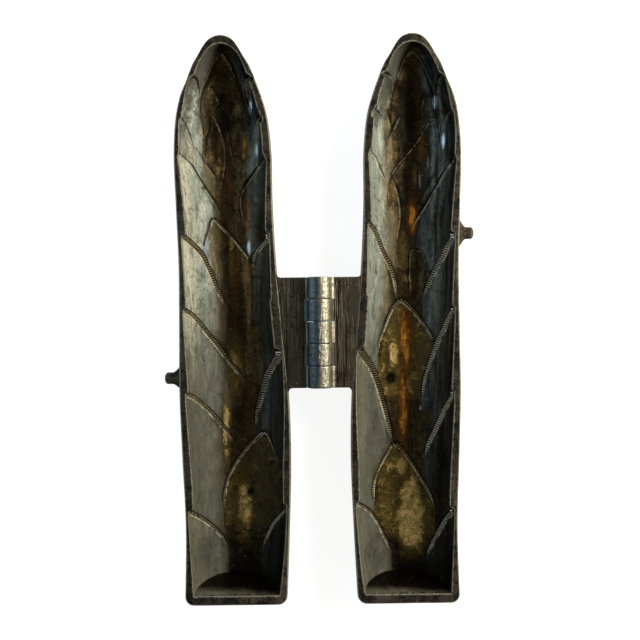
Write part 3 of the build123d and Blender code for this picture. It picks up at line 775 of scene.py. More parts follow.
def build_casting(name, bracts, lumps, lug, stains, mirror, seed):
    """One half: cavity, rim, belly and base as grids with shared edges, and the lug that overlaps them."""
    sheet = bpy.context.scene.mould_casting
    bracts = [Bract(*bract) for bract in bracts]
    y = row_places()
    theta = np.linspace(0.0, math.pi, sheet.columns)
    near, far = rim_sides(y)
    parts = MeshParts()
    cavity, tones, marks = cavity_surface(bracts, lumps, theta, cavity_place(y), seed)
    turned = (-np.cos(theta) if mirror else np.cos(theta))[None, :]
    marks.update({label: stain(cavity[..., 0], cavity[..., 1], spots) for label, spots in stains.items()})
    marks["gold"] = np.maximum(tones[..., 2], marks["gold"])
    # Pale and slate are painted light and shade: pale on the wall that faces the key lamp, slate on the wall
    # turned from it, as far as each bract's tone sets
    parts.quads(parts.add(cavity, pale=tones[..., 0] - turned, slate=turned - tones[..., 1], **marks))
    sides = []
    for column, edge, outward in ((0, far, 1.0), (-1, near, -1.0)):
        outer = np.stack([edge, y], axis=1)
        ring = rim_profile(cavity[:, column], outer, outline_normals(outer, outward), seed + 1)
        parts.quads(parts.add(ring, rim=1.0, wear=RIM_WEAR))
        sides.append(ring[:, -1])
    psi = np.linspace(0.0, math.pi, sheet.belly_columns)
    belly = parts.add(belly_surface(sides[0], sides[1], psi, y), rim=1.0)
    parts.quads(belly)
    top_line = cavity[0] * (1.0, 0.0, 0.0) + np.array((0.0, END_RIM_Y, RIM_Z - ROUND_IN))
    lift = np.linspace(0.0, 1.0, WALL_HIGH)[:, None, None]
    wall = cavity[0][None] * (1 - lift) + top_line[None] * lift
    # Painted light on the base wall: pale at the rim, darker deeper down and towards the right
    pale = WALL_PALE - (RIM_Z - wall[..., 2]) / WALL_FALL - WALL_TURN * turned
    parts.quads(parts.add(wall, pale=pale, slate=WALL_SLATE))
    span = np.linspace(0.0, 1.0, sheet.columns)
    base = np.stack([far[0] + (near[0] - far[0]) * span, np.full(sheet.columns, BASE_Y)], axis=1)
    strip = rim_profile(top_line, base, np.tile((0.0, -1.0), (sheet.columns, 1)), seed + 1)
    strip_ids = parts.add(strip, rim=1.0, wear=RIM_WEAR)
    parts.quads(strip_ids)
    parts.faces.append(strip_ids[::-1, -1].tolist() + belly[0, 1:-1].tolist())
    middle = (lug[0] + lug[3]) / 2
    edge_x = float(rim_sides(np.array((middle,)))[1][0])
    lug_ids = parts.add(lug_surface(lug, edge_x, LUG_NOSE_X), rim=1.0, wear=0.25)
    parts.quads(lug_ids)
    parts.faces.append(lug_ids[0, :-1].tolist())
    return parts.object(name, mirror)


# Piece, CAD node, body, bracts, lumps, lug, stains, mirrored to the left, seed
HALVES = (
    ("left_casting", "left_shell", "left_half", LEFT_BRACTS, LEFT_LUMPS, LEFT_LUG, LEFT_STAINS, True, 11),
    ("right_casting", "right_shell", "right_half", RIGHT_BRACTS, RIGHT_LUMPS, RIGHT_LUG, RIGHT_STAINS,
     False, 23),
)

# Piece, CAD node, body, first knuckle, grooves, mirrored to the left, seed
LEAVES = (
    ("left_leaf", "left_hinge_leaf", "left_half", 1, LEFT_GROOVES, True, 5),
    ("right_leaf", "right_hinge_leaf", "right_half", 0, RIGHT_GROOVES, False, 7),
)

# Colours of the metals, of what lies on them and of the studio, in linear red, green and blue. Several stand
# for light and shade: the slate colours are painted shade on the walls turned from the key lamp, darker still
# towards the base; the grime colour is also painted shade in the punched grooves, and the edge line colour
# painted shade on the steps; the ridge and rung colours, the floors' golden streaks and light specks and the
# blue gleam are painted highlights; the barrel's blue side is a painted reflection and its warm side a
# painted highlight; the near-black dark patches are partly painted shade.
SHADE = SimpleNamespace(
    floor_dirt=(0.024, 0.016, 0.007), floor_streak_highlight=(0.21, 0.125, 0.040), black=(0.006, 0.005, 0.004),
    grime_and_groove_shade=(0.008, 0.006, 0.003), slate=(0.020, 0.021, 0.019), slate_streak=(0.15, 0.158, 0.145),
    slate_cloud=(0.020, 0.017, 0.011), slate_dirt=(0.010, 0.009, 0.006), low_wall_shade=(0.014, 0.014, 0.010),
    wall_streak=(0.085, 0.080, 0.052), wall_light=(0.95, 0.93, 0.74), wall_cloud=(0.11, 0.10, 0.06),
    wall_dirt=(0.08, 0.072, 0.04), wall_speck=(0.04, 0.036, 0.02), gold_dirt=(0.035, 0.022, 0.008),
    gold_lump=(1.0, 0.68, 0.27), ember=(0.20, 0.065, 0.010), ember_dirt=(0.10, 0.035, 0.006),
    blue_gleam=(0.66, 0.80, 0.96), dark_tone_and_shade=(0.010, 0.008, 0.005), rim_brown=(0.120, 0.094, 0.064),
    rim_tarnish=(0.008, 0.006, 0.004), rubbed_rim=(0.42, 0.38, 0.27), floor_glint_speck=(0.42, 0.36, 0.22),
    pit=(0.012, 0.010, 0.006), edge_line=(0.012, 0.009, 0.005), rung=(0.52, 0.43, 0.22),
    slate_rung=(0.98, 0.90, 0.68), ridge=(0.92, 0.84, 0.60), barrel_cool_reflection=(0.115, 0.145, 0.165),
    barrel_warm_highlight=(0.46, 0.43, 0.32), barrel_tarnish=(0.12, 0.10, 0.06), leaf_tarnish=(0.030, 0.025, 0.014),
    leaf_scratch=(0.016, 0.014, 0.01), leaf_groove=(0.010, 0.008, 0.004), leaf_gleam=(0.42, 0.39, 0.31),
    leaf_pit=(0.012, 0.01, 0.007), steel=(0.34, 0.32, 0.28), steel_tarnish=(0.05, 0.04, 0.03),
    left_leaf=(0.105, 0.093, 0.066), right_leaf=(0.155, 0.137, 0.090), paper=(0.85, 0.85, 0.84),
    white=(1.0, 1.0, 1.0),
)

# Lamps: place in metres, width and height, colour
LAMPS = {
    "key": ((0.52, 0.24, 0.34), (0.55, 0.40), (1.0, 0.95, 0.84)),
    "cool_fill": ((-0.42, 0.19, 0.22), (0.34, 0.3), (0.55, 0.80, 1.0)),
}
FILL_POWER = 0.65

# Floor: half its side and its place below the mould, in metres, its roughness and its glow
FLOOR_SIDE, FLOOR_DOWN = 1.5, -0.00005
FLOOR_ROUGH, FLOOR_GLOW = 0.9, 0.86

# Camera: half the width that it sees and its distance from there, in millimetres, its place off the middle
# and the reach that it draws, in metres, and its turn
SEEN_HALF, SEEN_FROM = 106.667, 300.0
CAMERA_OFF = (0.0002, -0.000333)
CAMERA_CLIP = (0.01, 20.0)
CAMERA_TURN = math.radians(-0.67)


class NodeSheet:
    """Adds nodes to one node tree and joins them; an input is a number, a colour or another socket."""

    def __init__(self, tree):
        self.tree = tree

    def put(self, socket, value):
        """Join a socket to another, or set it to a plain value; a colour is three numbers and is made
        opaque."""
        if isinstance(value, bpy.types.NodeSocket):
            self.tree.links.new(value, socket)
        else:
            socket.default_value = (*value, 1.0) if socket.type == "RGBA" else value

    def node(self, kind, settings=None, inputs=None):
        """New node with its settings and inputs."""
        made = self.tree.nodes.new(kind)
        for key, value in (settings or {}).items():
            setattr(made, key, value)
        for key, value in (inputs or {}).items():
            self.put(made.inputs[key], value)
        return made

    def group(self, tree, **values):
        """Outputs of a node that holds a group, with its inputs set; an underscore in a name stands for a
        space."""
        inputs = {label.replace("_", " "): value for label, value in values.items()}
        return self.node("ShaderNodeGroup", {"node_tree": tree}, inputs).outputs

    def math(self, operation, total, *terms):
        """One operation carried through its numbers in turn."""
        for term in terms:
            total = self.node("ShaderNodeMath", {"operation": operation}, {0: total, 1: term}).outputs[0]
        return total

    def plus(self, *terms):
        """Sum of numbers."""
        return self.math("ADD", *terms)

    def minus(self, a, b):
        """Number a less number b."""
        return self.math("SUBTRACT", a, b)

    def times(self, *terms):
        """Product of numbers."""
        return self.math("MULTIPLY", *terms)

    def most(self, *terms):
        """Largest of numbers."""
        return self.math("MAXIMUM", *terms)

    def between(self, amount, a, b):
        """Number a turned to number b by amount."""
        return self.node("ShaderNodeMix", {"data_type": "FLOAT"}, {0: amount, 2: a, 3: b}).outputs[0]

    def band(self, value, low, high, start=0.0, end=1.0):
        """Smooth step from start to end as value goes from low to high."""
        ends = {"Value": value, "From Min": low, "From Max": high, "To Min": start, "To Max": end}
        return self.node("ShaderNodeMapRange", {"interpolation_type": "SMOOTHSTEP"}, ends).outputs[0]

    def spread(self, value, field, amount):
        """Value shifted up and down by a noise field, which breaks up the border where it is cut off."""
        return self.plus(value, self.times(self.minus(field, 0.5), amount))

    def lay(self, colour, *layers):
        """Colour with others laid over it in turn, each by its mask."""
        for mask, over in layers:
            mixed = self.node("ShaderNodeMix", {"data_type": "RGBA"}, {0: mask, 6: colour, 7: over})
            colour = mixed.outputs[2]
        return colour

    def stains(self, colour, *rows):
        """Colour with stains laid over it in turn: the field, where it starts to show and where it is full,
        its strength there and its colour."""
        return self.lay(colour, *((self.band(field, low, high, 0.0, strength), over)
                                  for field, low, high, strength, over in rows))

    def stretch(self, vector, scale):
        """Coordinates scaled by three numbers."""
        return self.node("ShaderNodeMapping", {}, {"Vector": vector, "Scale": scale}).outputs[0]

    def noise(self, vector, scale, detail=4.0, rough=0.55, bend=0.0):
        """Soft noise from 0 to 1."""
        return self.node("ShaderNodeTexNoise", {}, {"Vector": vector, "Scale": scale, "Detail": detail,
                                                    "Roughness": rough, "Distortion": bend}).outputs[0]

    def cells(self, vector, scale):
        """Distance to the nearest seeded point."""
        return self.node("ShaderNodeTexVoronoi", {}, {"Vector": vector, "Scale": scale}).outputs["Distance"]

    def attribute(self, name):
        """Number stored on the surface's own points."""
        return self.node("ShaderNodeAttribute", {"attribute_name": name}).outputs["Fac"]

    def place(self, axis=None):
        """Object coordinates in metres, or one of them."""
        place = self.node("ShaderNodeTexCoord").outputs["Object"]
        return self.node("ShaderNodeSeparateXYZ", {}, {"Vector": place}).outputs[axis] if axis else place


def shader_group(name, takes, gives):
    """Empty node group with named inputs and outputs; colours have four numbers, vectors three."""
    tree = bpy.data.node_groups.new(name, "ShaderNodeTree")
    kinds = {1: "NodeSocketFloat", 3: "NodeSocketVector", 4: "NodeSocketColor"}
    for label, value in takes.items():
        size = 1 if isinstance(value, float) else len(value)
        socket = tree.interface.new_socket(name=label, in_out="INPUT", socket_type=kinds[size])
        socket.default_value = value
    for label, size in gives.items():
        tree.interface.new_socket(name=label, in_out="OUTPUT", socket_type=kinds[size])
    start = tree.nodes.new("NodeGroupInput")
    end = tree.nodes.new("NodeGroupOutput")
    return tree, NodeSheet(tree), start.outputs, end.inputs


def tarnish_group():
    """Group: tarnish of old pewter, which turns a bright metal to a dull one in clouds and fine specks."""
    tree, s, takes, gives = shader_group(
        "Tarnish", {"Vector": (0.0, 0.0, 0.0), "Bright": (0.4, 0.4, 0.34, 1.0), "Dull": (0.1, 0.1, 0.09, 1.0),
                    "Amount": 0.5, "Cloud Scale": 90.0, "Speck Scale": 900.0},
        {"Color": 4, "Dullness": 1})
    cloud = s.noise(takes["Vector"], takes["Cloud Scale"], 6.0, 0.6, 0.4)
    speck = s.noise(takes["Vector"], takes["Speck Scale"], 3.0, 0.7)
    low = s.minus(0.86, s.times(takes["Amount"], 0.7))
    mask = s.band(s.spread(cloud, speck, 0.55), low, s.plus(low, 0.24))
    s.put(gives["Color"], s.lay(takes["Bright"], (mask, takes["Dull"])))
    s.put(gives["Dullness"], mask)
    return tree


def pit_group():
    """Group: small casting pits, round dark spots of two sizes, as a mask and a depth below the surface."""
    tree, s, takes, gives = shader_group(
        "Casting pits", {"Vector": (0.0, 0.0, 0.0), "Scale": 700.0, "Amount": 0.5}, {"Mask": 1, "Depth": 1})
    chance = s.noise(takes["Vector"], s.times(takes["Scale"], 0.16), 2.0)
    room = s.times(s.band(chance, 0.40, 0.70), takes["Amount"])
    small = s.cells(takes["Vector"], takes["Scale"])
    large = s.cells(takes["Vector"], s.times(takes["Scale"], 0.37))
    mask = s.most(*(s.band(cells, 0.0, s.times(room, reach), 1.0, 0.0)
                    for cells, reach in ((small, 0.55), (large, 0.34))))
    s.put(gives["Mask"], mask)
    s.put(gives["Depth"], s.times(mask, -0.12))
    return tree


def scratch_group():
    """Group: fine straight scratches, from noise that its user stretches along one axis."""
    tree, s, takes, gives = shader_group(
        "Scratches", {"Vector": (0.0, 0.0, 0.0), "Fineness": 2600.0, "Amount": 0.5}, {"Mask": 1, "Depth": 1})
    fine = s.noise(takes["Vector"], takes["Fineness"], 3.0, 0.65)
    wide = s.noise(takes["Vector"], s.times(takes["Fineness"], 0.28), 2.0, 0.5)
    low = s.minus(0.66, s.times(takes["Amount"], 0.2))
    mask = s.band(s.plus(s.times(fine, 0.55), s.times(wide, 0.45)), low, s.plus(low, 0.07))
    s.put(gives["Mask"], mask)
    s.put(gives["Depth"], s.times(mask, -0.05))
    return tree


def edge_group():
    """Group: edge of a bract, from the distance across it and the place along it in millimetres: masks and a
    height for a fine dark line, where painted shade goes, a thin bright ridge beside it, which gets a painted
    highlight, and, where it is punched, a dark groove of painted shade with pale rungs across it, painted as
    glints."""
    tree, s, takes, gives = shader_group(
        "Punched edge", {"Across": FAR, "Along": 0.0, "Edge": 0.0, "Rungs": 0.0, "Pitch": RUNG_PITCH},
        {"Line": 1, "Groove": 1, "Rung": 1, "Ridge": 1, "Height": 1})
    across, rungs = takes["Across"], takes["Rungs"]
    outer = s.plus(across, s.times(rungs, LADDER))
    line = s.times(s.band(outer, -0.42, -0.24), s.band(outer, 0.0, 0.2, 1.0, 0.0), takes["Edge"])
    inner = s.band(across, -0.10, 0.10, 1.0, 0.0)
    groove = s.times(s.band(outer, -0.22, 0.0), inner, s.band(rungs, 0.12, 0.40))
    turns = s.times(s.math("DIVIDE", takes["Along"], takes["Pitch"]), 2.0 * math.pi)
    rung = s.times(s.band(s.math("COSINE", turns, 0.0), -0.15, 0.25), groove, s.band(outer, 0.0, 0.20))
    ridge = s.times(s.band(across, -0.06, 0.12), s.band(across, 0.30, 0.75, 1.0, 0.0), takes["Edge"],
                    s.band(rungs, 0.0, 0.12, 0.3, 1.0))
    height = s.plus(s.times(groove, -0.06), s.times(rung, 0.14), s.times(line, -0.12), s.times(ridge, 0.06))
    made = {"Line": line, "Groove": groove, "Rung": rung, "Ridge": ridge, "Height": height}
    for label, value in made.items():
        s.put(gives[label], value)
    return tree


def shader_groups():
    """The shared effects, built once and then found again by name."""
    makers = {"Tarnish": tarnish_group, "Casting pits": pit_group, "Scratches": scratch_group,
              "Punched edge": edge_group}
    return {name: bpy.data.node_groups.get(name) or make() for name, make in makers.items()}


def new_material(name, metallic=0.9):
    """Material with an empty Principled shader, and a sheet to add nodes with."""
    material = bpy.data.materials.new(name)
    material.use_nodes = True
    shader = material.node_tree.nodes["Principled BSDF"]
    shader.inputs["Metallic"].default_value = metallic
    return material, NodeSheet(material.node_tree), shader


def finish_material(s, shader, colour, rough, height):
    """Join colour, roughness and a height in millimetres to the shader."""
    s.put(shader.inputs["Base Color"], colour)
    s.put(shader.inputs["Roughness"], rough)
    bump = s.node("ShaderNodeBump", {}, {"Strength": 1.0, "Distance": MM, "Height": height})
    s.put(shader.inputs["Normal"], bump.outputs["Normal"])


def metal_fields(s):
    """Noise fields that all parts of the pewter's finish share, from streaks along Y to fine grit."""
    place, along_y = s.place(), s.place("Y")
    long_way = s.stretch(place, (1.0, 0.22, 1.0))
    mottle = s.noise(place, 240.0, 8.0, 0.68, 0.8)
    return SimpleNamespace(
        place=place, along_y=along_y, long_way=long_way, mottle=mottle, low=s.spread(along_y, mottle, 0.07),
        streak=s.noise(s.stretch(place, (1.0, 0.08, 1.0)), 300.0, 6.0, 0.62, 0.5),
        drawn=s.noise(long_way, 420.0, 6.0, 0.70, 1.2),
        grit=s.noise(place, 620.0, 6.0, 0.72, 0.5), fine=s.noise(place, 1500.0, 5.0, 0.75))


def floor_metal(s, f, tones):
    """Colour of the floors: brown, with golden streaks along the stalk painted as warm highlights, dirt, and
    painted shadow by the end wall.
    """
    # Golden streaks along the stalk: painted warm highlights
    streaks = s.times(s.band(f.streak, 0.54, 0.74, 0.0, 0.8), s.band(f.low, 0.062, 0.036))
    ground = s.lay(tones.floor_colour, (s.band(f.mottle, 0.36, 0.66), SHADE.floor_dirt),
                   (streaks, SHADE.floor_streak_highlight))
    # The near-black by the end wall is painted shadow; the grime over grit is dirt
    return s.stains(ground, (f.low, -0.068, -0.082, 0.85, SHADE.black),
                    (f.grit, 0.50, 0.68, 0.85, SHADE.grime_and_groove_shade))


def slate_metal(s, f):
    """Colour of the dark walls, painted shade where they turn from the key lamp: slate streaks under brown
    clouds and dirt, with more painted shade towards the base.
    """
    return s.stains(SHADE.slate, (f.streak, 0.36, 0.62, 1.0, SHADE.slate_streak),
                    (f.mottle, 0.46, 0.72, 0.7, SHADE.slate_cloud),
                    (f.grit, 0.52, 0.70, 0.7, SHADE.slate_dirt),
                    # Painted shade: the dark walls grow darker towards the base
                    (f.low, 0.0, -0.075, 0.75, SHADE.low_wall_shade))


def wall_metal(s, f, tones, up_wall):
    """Colour of the pale walls, painted light where they face the key lamp: satin pewter with cool clouds,
    partly a painted band of shade, olive painted shade towards the floor, darker low down as painted falloff
    of the light and darker in tone at the tip, with drawn streaks, mottling and grit."""
    cloud = s.most(s.band(up_wall, 0.80, 0.40), s.band(s.noise(f.long_way, 70.0, 4.0), 0.5, 0.7))
    # Darker low down: painted falloff of the key light; darker at the tip: a darker tone
    low_shade_and_tip = s.most(s.band(f.low, 0.012, -0.020), s.band(f.low, 0.062, 0.078))
    light = s.times(s.band(f.drawn, 0.44, 0.34, 0.0, 0.36), s.between(low_shade_and_tip, 1.0, 0.3))
    wall = s.lay(tones.wall_colour, (s.times(cloud, 0.85), tones.cool_colour),
                 (s.band(up_wall, 0.34, 0.0), tones.turning_shade_colour), (s.times(low_shade_and_tip, 0.84), tones.low_shade_and_tip_colour),
                 (s.band(f.drawn, 0.50, 0.62, 0.0, 0.6), SHADE.wall_streak), (light, SHADE.wall_light))
    return s.stains(wall, (f.mottle, 0.50, 0.70, 0.7, SHADE.wall_cloud),
                    (f.grit, 0.54, 0.70, 0.8, SHADE.wall_dirt), (f.fine, 0.58, 0.72, 0.7, SHADE.wall_speck))


def gilding(s, f, tones):
    """Golden tarnish: its mask, its colour, and the mask of its pale lumps."""
    gold = s.attribute("gold")
    golden = s.band(s.spread(gold, f.mottle, 0.5), 0.16, 0.52)
    lumpy = s.plus(s.spread(s.noise(f.place, 420.0, 5.0, 0.6, 0.8), f.fine, 0.3), s.times(gold, 0.16))
    flecks = s.times(s.band(lumpy, 0.64, 0.72), s.band(s.spread(gold, f.mottle, 1.2), 0.42, 0.75))
    glow = s.lay(tones.moss_colour, (s.band(s.spread(gold, f.mottle, 1.6), 0.44, 0.86), tones.gold_colour),
                 (s.band(f.grit, 0.54, 0.66, 0.0, 0.85), SHADE.gold_dirt), (flecks, SHADE.gold_lump))
    return golden, glow, flecks


def heat_stains(s, f, tones, colour):
    """Colour with the orange stripes, the blue gleams, which are painted highlights, and the dark patches,
    partly painted shade, laid over it.
    """
    heat = s.times(s.attribute("orange"), s.band(s.spread(f.drawn, f.mottle, 0.7), 0.38, 0.62, 0.66, 1.12))
    ember = s.lay(SHADE.ember, (s.band(heat, 0.35, 0.85), tones.orange_colour),
                  (s.band(f.grit, 0.48, 0.68, 0.0, 0.8), SHADE.ember_dirt))
    # Blue gleams are painted highlights; the dark patches are partly painted shade
    gleam = s.times(s.attribute("blue"), s.plus(f.drawn, 0.55))
    dark_tone_and_shade = s.times(s.attribute("dark_tone_and_shade"), s.plus(f.mottle, 0.6))
    return s.stains(colour, (heat, 0.10, 0.55, 1.0, ember), (gleam, 0.30, 0.95, 1.0, SHADE.blue_gleam),
                    (dark_tone_and_shade, 0.20, 0.80, 0.9, SHADE.dark_tone_and_shade))


def flange_metal(s, f, tones, groups, holes):
    """Colour of rims and outside: two dark metals under tarnish, rubbed bright on the edges and pitted."""
    brown = s.band(s.noise(f.long_way, 90.0, 3.0), 0.44, 0.62)
    metal = s.lay(tones.rim_colour, (brown, SHADE.rim_brown))
    outside = s.group(groups["Tarnish"], Vector=f.place, Bright=metal, Dull=SHADE.rim_tarnish,
                      Amount=0.66, Cloud_Scale=260.0, Speck_Scale=1100.0)
    rubbed = s.times(s.band(s.plus(s.attribute("wear"), s.plus(f.grit, f.fine)), 1.42, 1.70), 0.8)
    return s.lay(outside["Color"], (rubbed, SHADE.rubbed_rim), (s.times(holes["Mask"], 0.85), SHADE.black))


def pewter_material(groups):
    """Cast pewter: satin walls under cloudy tarnish, painted pale where they face the key lamp and slate
    where they turn from it, brown and golden floors, punched edges, dark rims.
    """
    tones = bpy.context.scene.mould_finish
    material, s, shader = new_material("Old cast pewter")
    f = metal_fields(s)
    rim = s.attribute("rim")
    # The pale and slate masks lay painted light on the walls facing the key lamp and painted shade on those
    # turned from it
    up_wall = s.spread(s.attribute("pale"), s.noise(f.long_way, 120.0, 5.0, 0.6), 0.6)
    pale = s.band(s.spread(up_wall, f.mottle, 0.4), -0.28, 0.24)
    slate = s.band(s.spread(s.attribute("slate"), f.streak, 0.6), -0.12, 0.20)
    # Light specks on the dark floors and walls are painted glints
    specks = s.band(s.spread(f.fine, f.grit, 0.6), 0.40, 0.28, 0.0, 0.55)
    golden, glow, flecks = gilding(s, f, tones)
    colour = s.lay(floor_metal(s, f, tones), (slate, slate_metal(s, f)), (specks, SHADE.floor_glint_speck),
                   (pale, wall_metal(s, f, tones, up_wall)), (golden, glow))
    colour = heat_stains(s, f, tones, colour)
    pits, holes = (s.group(groups["Casting pits"], Vector=f.place, Scale=scale, Amount=amount)
                   for scale, amount in ((820.0, 0.55), (620.0, 0.9)))
    edge = s.group(groups["Punched edge"], Across=s.attribute("across"), Along=s.attribute("along"),
                   Edge=s.attribute("edge"), Rungs=s.attribute("rungs"))
    # Painted light along the bract edges: shade on the line and in the groove, pale glints on the rungs and a
    # highlight on the broken ridge
    broken = s.times(edge["Ridge"], s.band(s.spread(f.grit, f.drawn, 0.9), 0.60, 0.44, 0.08, 0.9))
    colour = s.lay(colour, (s.times(pits["Mask"], 0.7), SHADE.pit),
                   (s.times(edge["Line"], 0.85), SHADE.edge_line), (edge["Groove"], SHADE.grime_and_groove_shade),
                   (edge["Rung"], s.lay(SHADE.rung, (slate, SHADE.slate_rung))),
                   (s.times(broken, s.between(slate, 0.85, 0.6)), SHADE.ridge),
                   (rim, flange_metal(s, f, tones, groups, holes)))
    rough = s.between(s.band(f.mottle, 0.35, 0.7), tones.wall_roughness - 0.10, tones.wall_roughness + 0.08)
    rough = s.between(rim, s.plus(rough, s.times(pale, 0.10)), 0.58)
    rolling = s.between(s.band(f.along_y, 0.036, 0.050), s.between(pale, 0.36, 0.22), 0.62)
    ripple = s.times(s.noise(f.long_way, 180.0, 4.0, 0.5), rolling)
    grain = s.times(s.plus(f.mottle, s.plus(s.times(f.fine, 0.35), s.times(f.grit, 0.5))),
                    s.between(s.most(rim, golden), 0.14, 0.40))
    height = s.plus(ripple, grain, edge["Height"], s.between(rim, pits["Depth"], holes["Depth"]))
    chalky = s.most(pale, edge["Rung"], broken, s.times(flecks, golden))
    s.put(shader.inputs["Metallic"], s.between(chalky, 0.90, 0.30))
    finish_material(s, shader, colour, rough, height)
    return material


def leaf_material(groups, name, tint, pitting):
    """Hinge plate: grey-brown metal scratched along the hinge and pitted, its barrel painted with a bluish
    reflection on the left and a warm highlight on the right.
    """
    material, s, shader = new_material(name)
    place, rim = s.place(), s.attribute("rim")
    # The barrel's sides are painted by place: a bluish reflection on the left, a warm highlight on the right
    turn = s.spread(s.place("X"), s.noise(place, 500.0, 4.0), 0.003)
    barrel = s.stains(SHADE.barrel_cool_reflection, (turn, -0.0009, 0.0006, 1.0, SHADE.barrel_warm_highlight))
    metal = s.group(groups["Tarnish"], Vector=place, Bright=s.lay(tint, (rim, barrel)),
                    Dull=s.lay(SHADE.leaf_tarnish, (rim, SHADE.barrel_tarnish)),
                    Amount=0.56, Cloud_Scale=120.0, Speck_Scale=1500.0)
    dark_way, bright_way = s.stretch(place, (1.0, 0.035, 1.0)), s.stretch(place, (1.3, 0.02, 1.0))
    lines = s.group(groups["Scratches"], Vector=dark_way, Fineness=1500.0, Amount=0.7)
    bright = s.group(groups["Scratches"], Vector=bright_way, Fineness=2300.0, Amount=0.4)
    pits = s.group(groups["Casting pits"], Vector=place, Scale=560.0, Amount=pitting)
    colour = s.lay(metal["Color"], (s.times(lines["Mask"], 0.7, s.minus(1.0, rim)), SHADE.leaf_scratch),
                   (s.times(s.attribute("edge"), 0.9), SHADE.leaf_groove),
                   (s.times(bright["Mask"], 0.55), SHADE.leaf_gleam),
                   (s.times(pits["Mask"], 0.75), SHADE.leaf_pit))
    height = s.plus(lines["Depth"], pits["Depth"], s.times(s.noise(place, 800.0, 4.0), 0.06),
                    s.times(s.noise(place, 900.0, 3.0), 0.16, rim))
    finish_material(s, shader, colour, s.between(metal["Dullness"], 0.34, 0.5), height)
    return material


def pin_material(groups):
    """Steel pin ends: dull and spotted."""
    material, s, shader = new_material("Pin steel", 1.0)
    place = s.place()
    metal = s.group(groups["Tarnish"], Vector=place, Bright=SHADE.steel, Dull=SHADE.steel_tarnish,
                    Amount=0.5, Cloud_Scale=300.0, Speck_Scale=2400.0)
    finish_material(s, shader, metal["Color"], s.between(metal["Dullness"], 0.3, 0.5),
                    s.times(s.noise(place, 1500.0), 0.03))
    return material


def floor_material():
    """Pale floor that the camera sees as white, with the object's soft shadow kept."""
    material, s, shader = new_material("White floor", 0.0)
    path = s.node("ShaderNodeLightPath")
    seen = s.most(*(path.outputs[f"Is {ray} Ray"] for ray in ("Camera", "Glossy", "Transmission")))
    looks = {"Base Color": SHADE.paper, "Roughness": FLOOR_ROUGH, "Emission Color": SHADE.white,
             "Emission Strength": s.times(seen, FLOOR_GLOW)}
    for label, value in looks.items():
        s.put(shader.inputs[label], value)
    return material


def white_world(level):
    """World that lights the object at a plain level and shows as white to the camera."""
    world = bpy.data.worlds.new("Studio")
    world.use_nodes = True
    s = NodeSheet(world.node_tree)
    back = world.node_tree.nodes["Background"]
    s.put(back.inputs["Color"], SHADE.white)
    path = s.node("ShaderNodeLightPath")
    s.put(back.inputs["Strength"], s.between(path.outputs["Is Camera Ray"], level, 1.0))
    bpy.context.scene.world = world


def soft_lamp(name, power):
    """Soft lamp of the table above, turned to the middle of the mould."""
    place, size, tint = LAMPS[name]
    lamp = bpy.data.lights.new(name, "AREA")
    lamp.shape, lamp.size, lamp.size_y = "RECTANGLE", size[0], size[1]
    lamp.energy, lamp.color = power, tint
    made = bpy.data.objects.new(name, lamp)
    made.location = place
    made.rotation_euler = (-Vector(place)).to_track_quat("-Z", "Y").to_euler()
    bpy.context.scene.collection.objects.link(made)


class MouldCastingSettings(bpy.types.PropertyGroup):
    """Sizes of the visible castings that a user may change."""

    columns: IntProperty(
        name="Cavity columns", description="Points across each cavity", default=136, min=24, max=160)
    belly_columns: IntProperty(
        name="Outside columns", description="Points across each outside", default=33, min=9, max=65)
    straight_rows: IntProperty(
        name="Rows", description="Rows from the base to the start of the nose", default=370, min=60,
        max=420)
    nose_rows: IntProperty(
        name="Nose rows", description="Rows round the nose of each half", default=76, min=20, max=90)


class MouldFinishSettings(bpy.types.PropertyGroup):
    """Colours of the old metal that a user may change."""

    # Painted light: this bright colour is laid where the walls face the key lamp
    wall_colour: FloatVectorProperty(
        name="Wall", description="Bright satin pewter of the cavity walls", subtype="COLOR",
        default=(0.92, 0.90, 0.68), min=0.0, max=1.0)
    # Cool clouds are noise tarnish, and where the pale wall starts to turn from the lamp they are a painted
    # band of shade
    cool_colour: FloatVectorProperty(
        name="Cool tarnish", description="Blue-grey tarnish in clouds on the walls", subtype="COLOR",
        default=(0.36, 0.42, 0.36), min=0.0, max=1.0)
    # Painted shade: olive laid where the pale walls turn towards the floor and away from the lamp
    turning_shade_colour: FloatVectorProperty(
        name="Olive", description="Olive tarnish where the walls turn to the floor", subtype="COLOR",
        default=(0.21, 0.17, 0.075), min=0.0, max=1.0)
    moss_colour: FloatVectorProperty(
        name="Dull gold", description="Olive-brown of the golden bracts between the lumps", subtype="COLOR",
        default=(0.13, 0.092, 0.024), min=0.0, max=1.0)
    # Grey-brown laid low on the walls as painted falloff of the key light, and at the tip as a darker tone
    low_shade_and_tip_colour: FloatVectorProperty(
        name="Worn walls", description="Grey-brown of the walls low down and at the tip", subtype="COLOR",
        default=(0.110, 0.104, 0.068), min=0.0, max=1.0)
    floor_colour: FloatVectorProperty(
        name="Floor", description="Brown tarnish along the floor of the cavities", subtype="COLOR",
        default=(0.078, 0.052, 0.019), min=0.0, max=1.0)
    gold_colour: FloatVectorProperty(
        name="Gold", description="Yellow tarnish in patches", subtype="COLOR", default=(0.62, 0.44, 0.14),
        min=0.0, max=1.0)
    orange_colour: FloatVectorProperty(
        name="Orange", description="Orange tarnish in stripes", subtype="COLOR", default=(1.0, 0.45, 0.06),
        min=0.0, max=1.0)
    rim_colour: FloatVectorProperty(
        name="Rim", description="Dark dull metal of the rims and the outside", subtype="COLOR",
        default=(0.050, 0.042, 0.027), min=0.0, max=1.0)
    wall_roughness: FloatProperty(
        name="Wall roughness", description="How satin the cavity walls are", default=0.42, min=0.05,
        max=1.0, subtype="FACTOR")


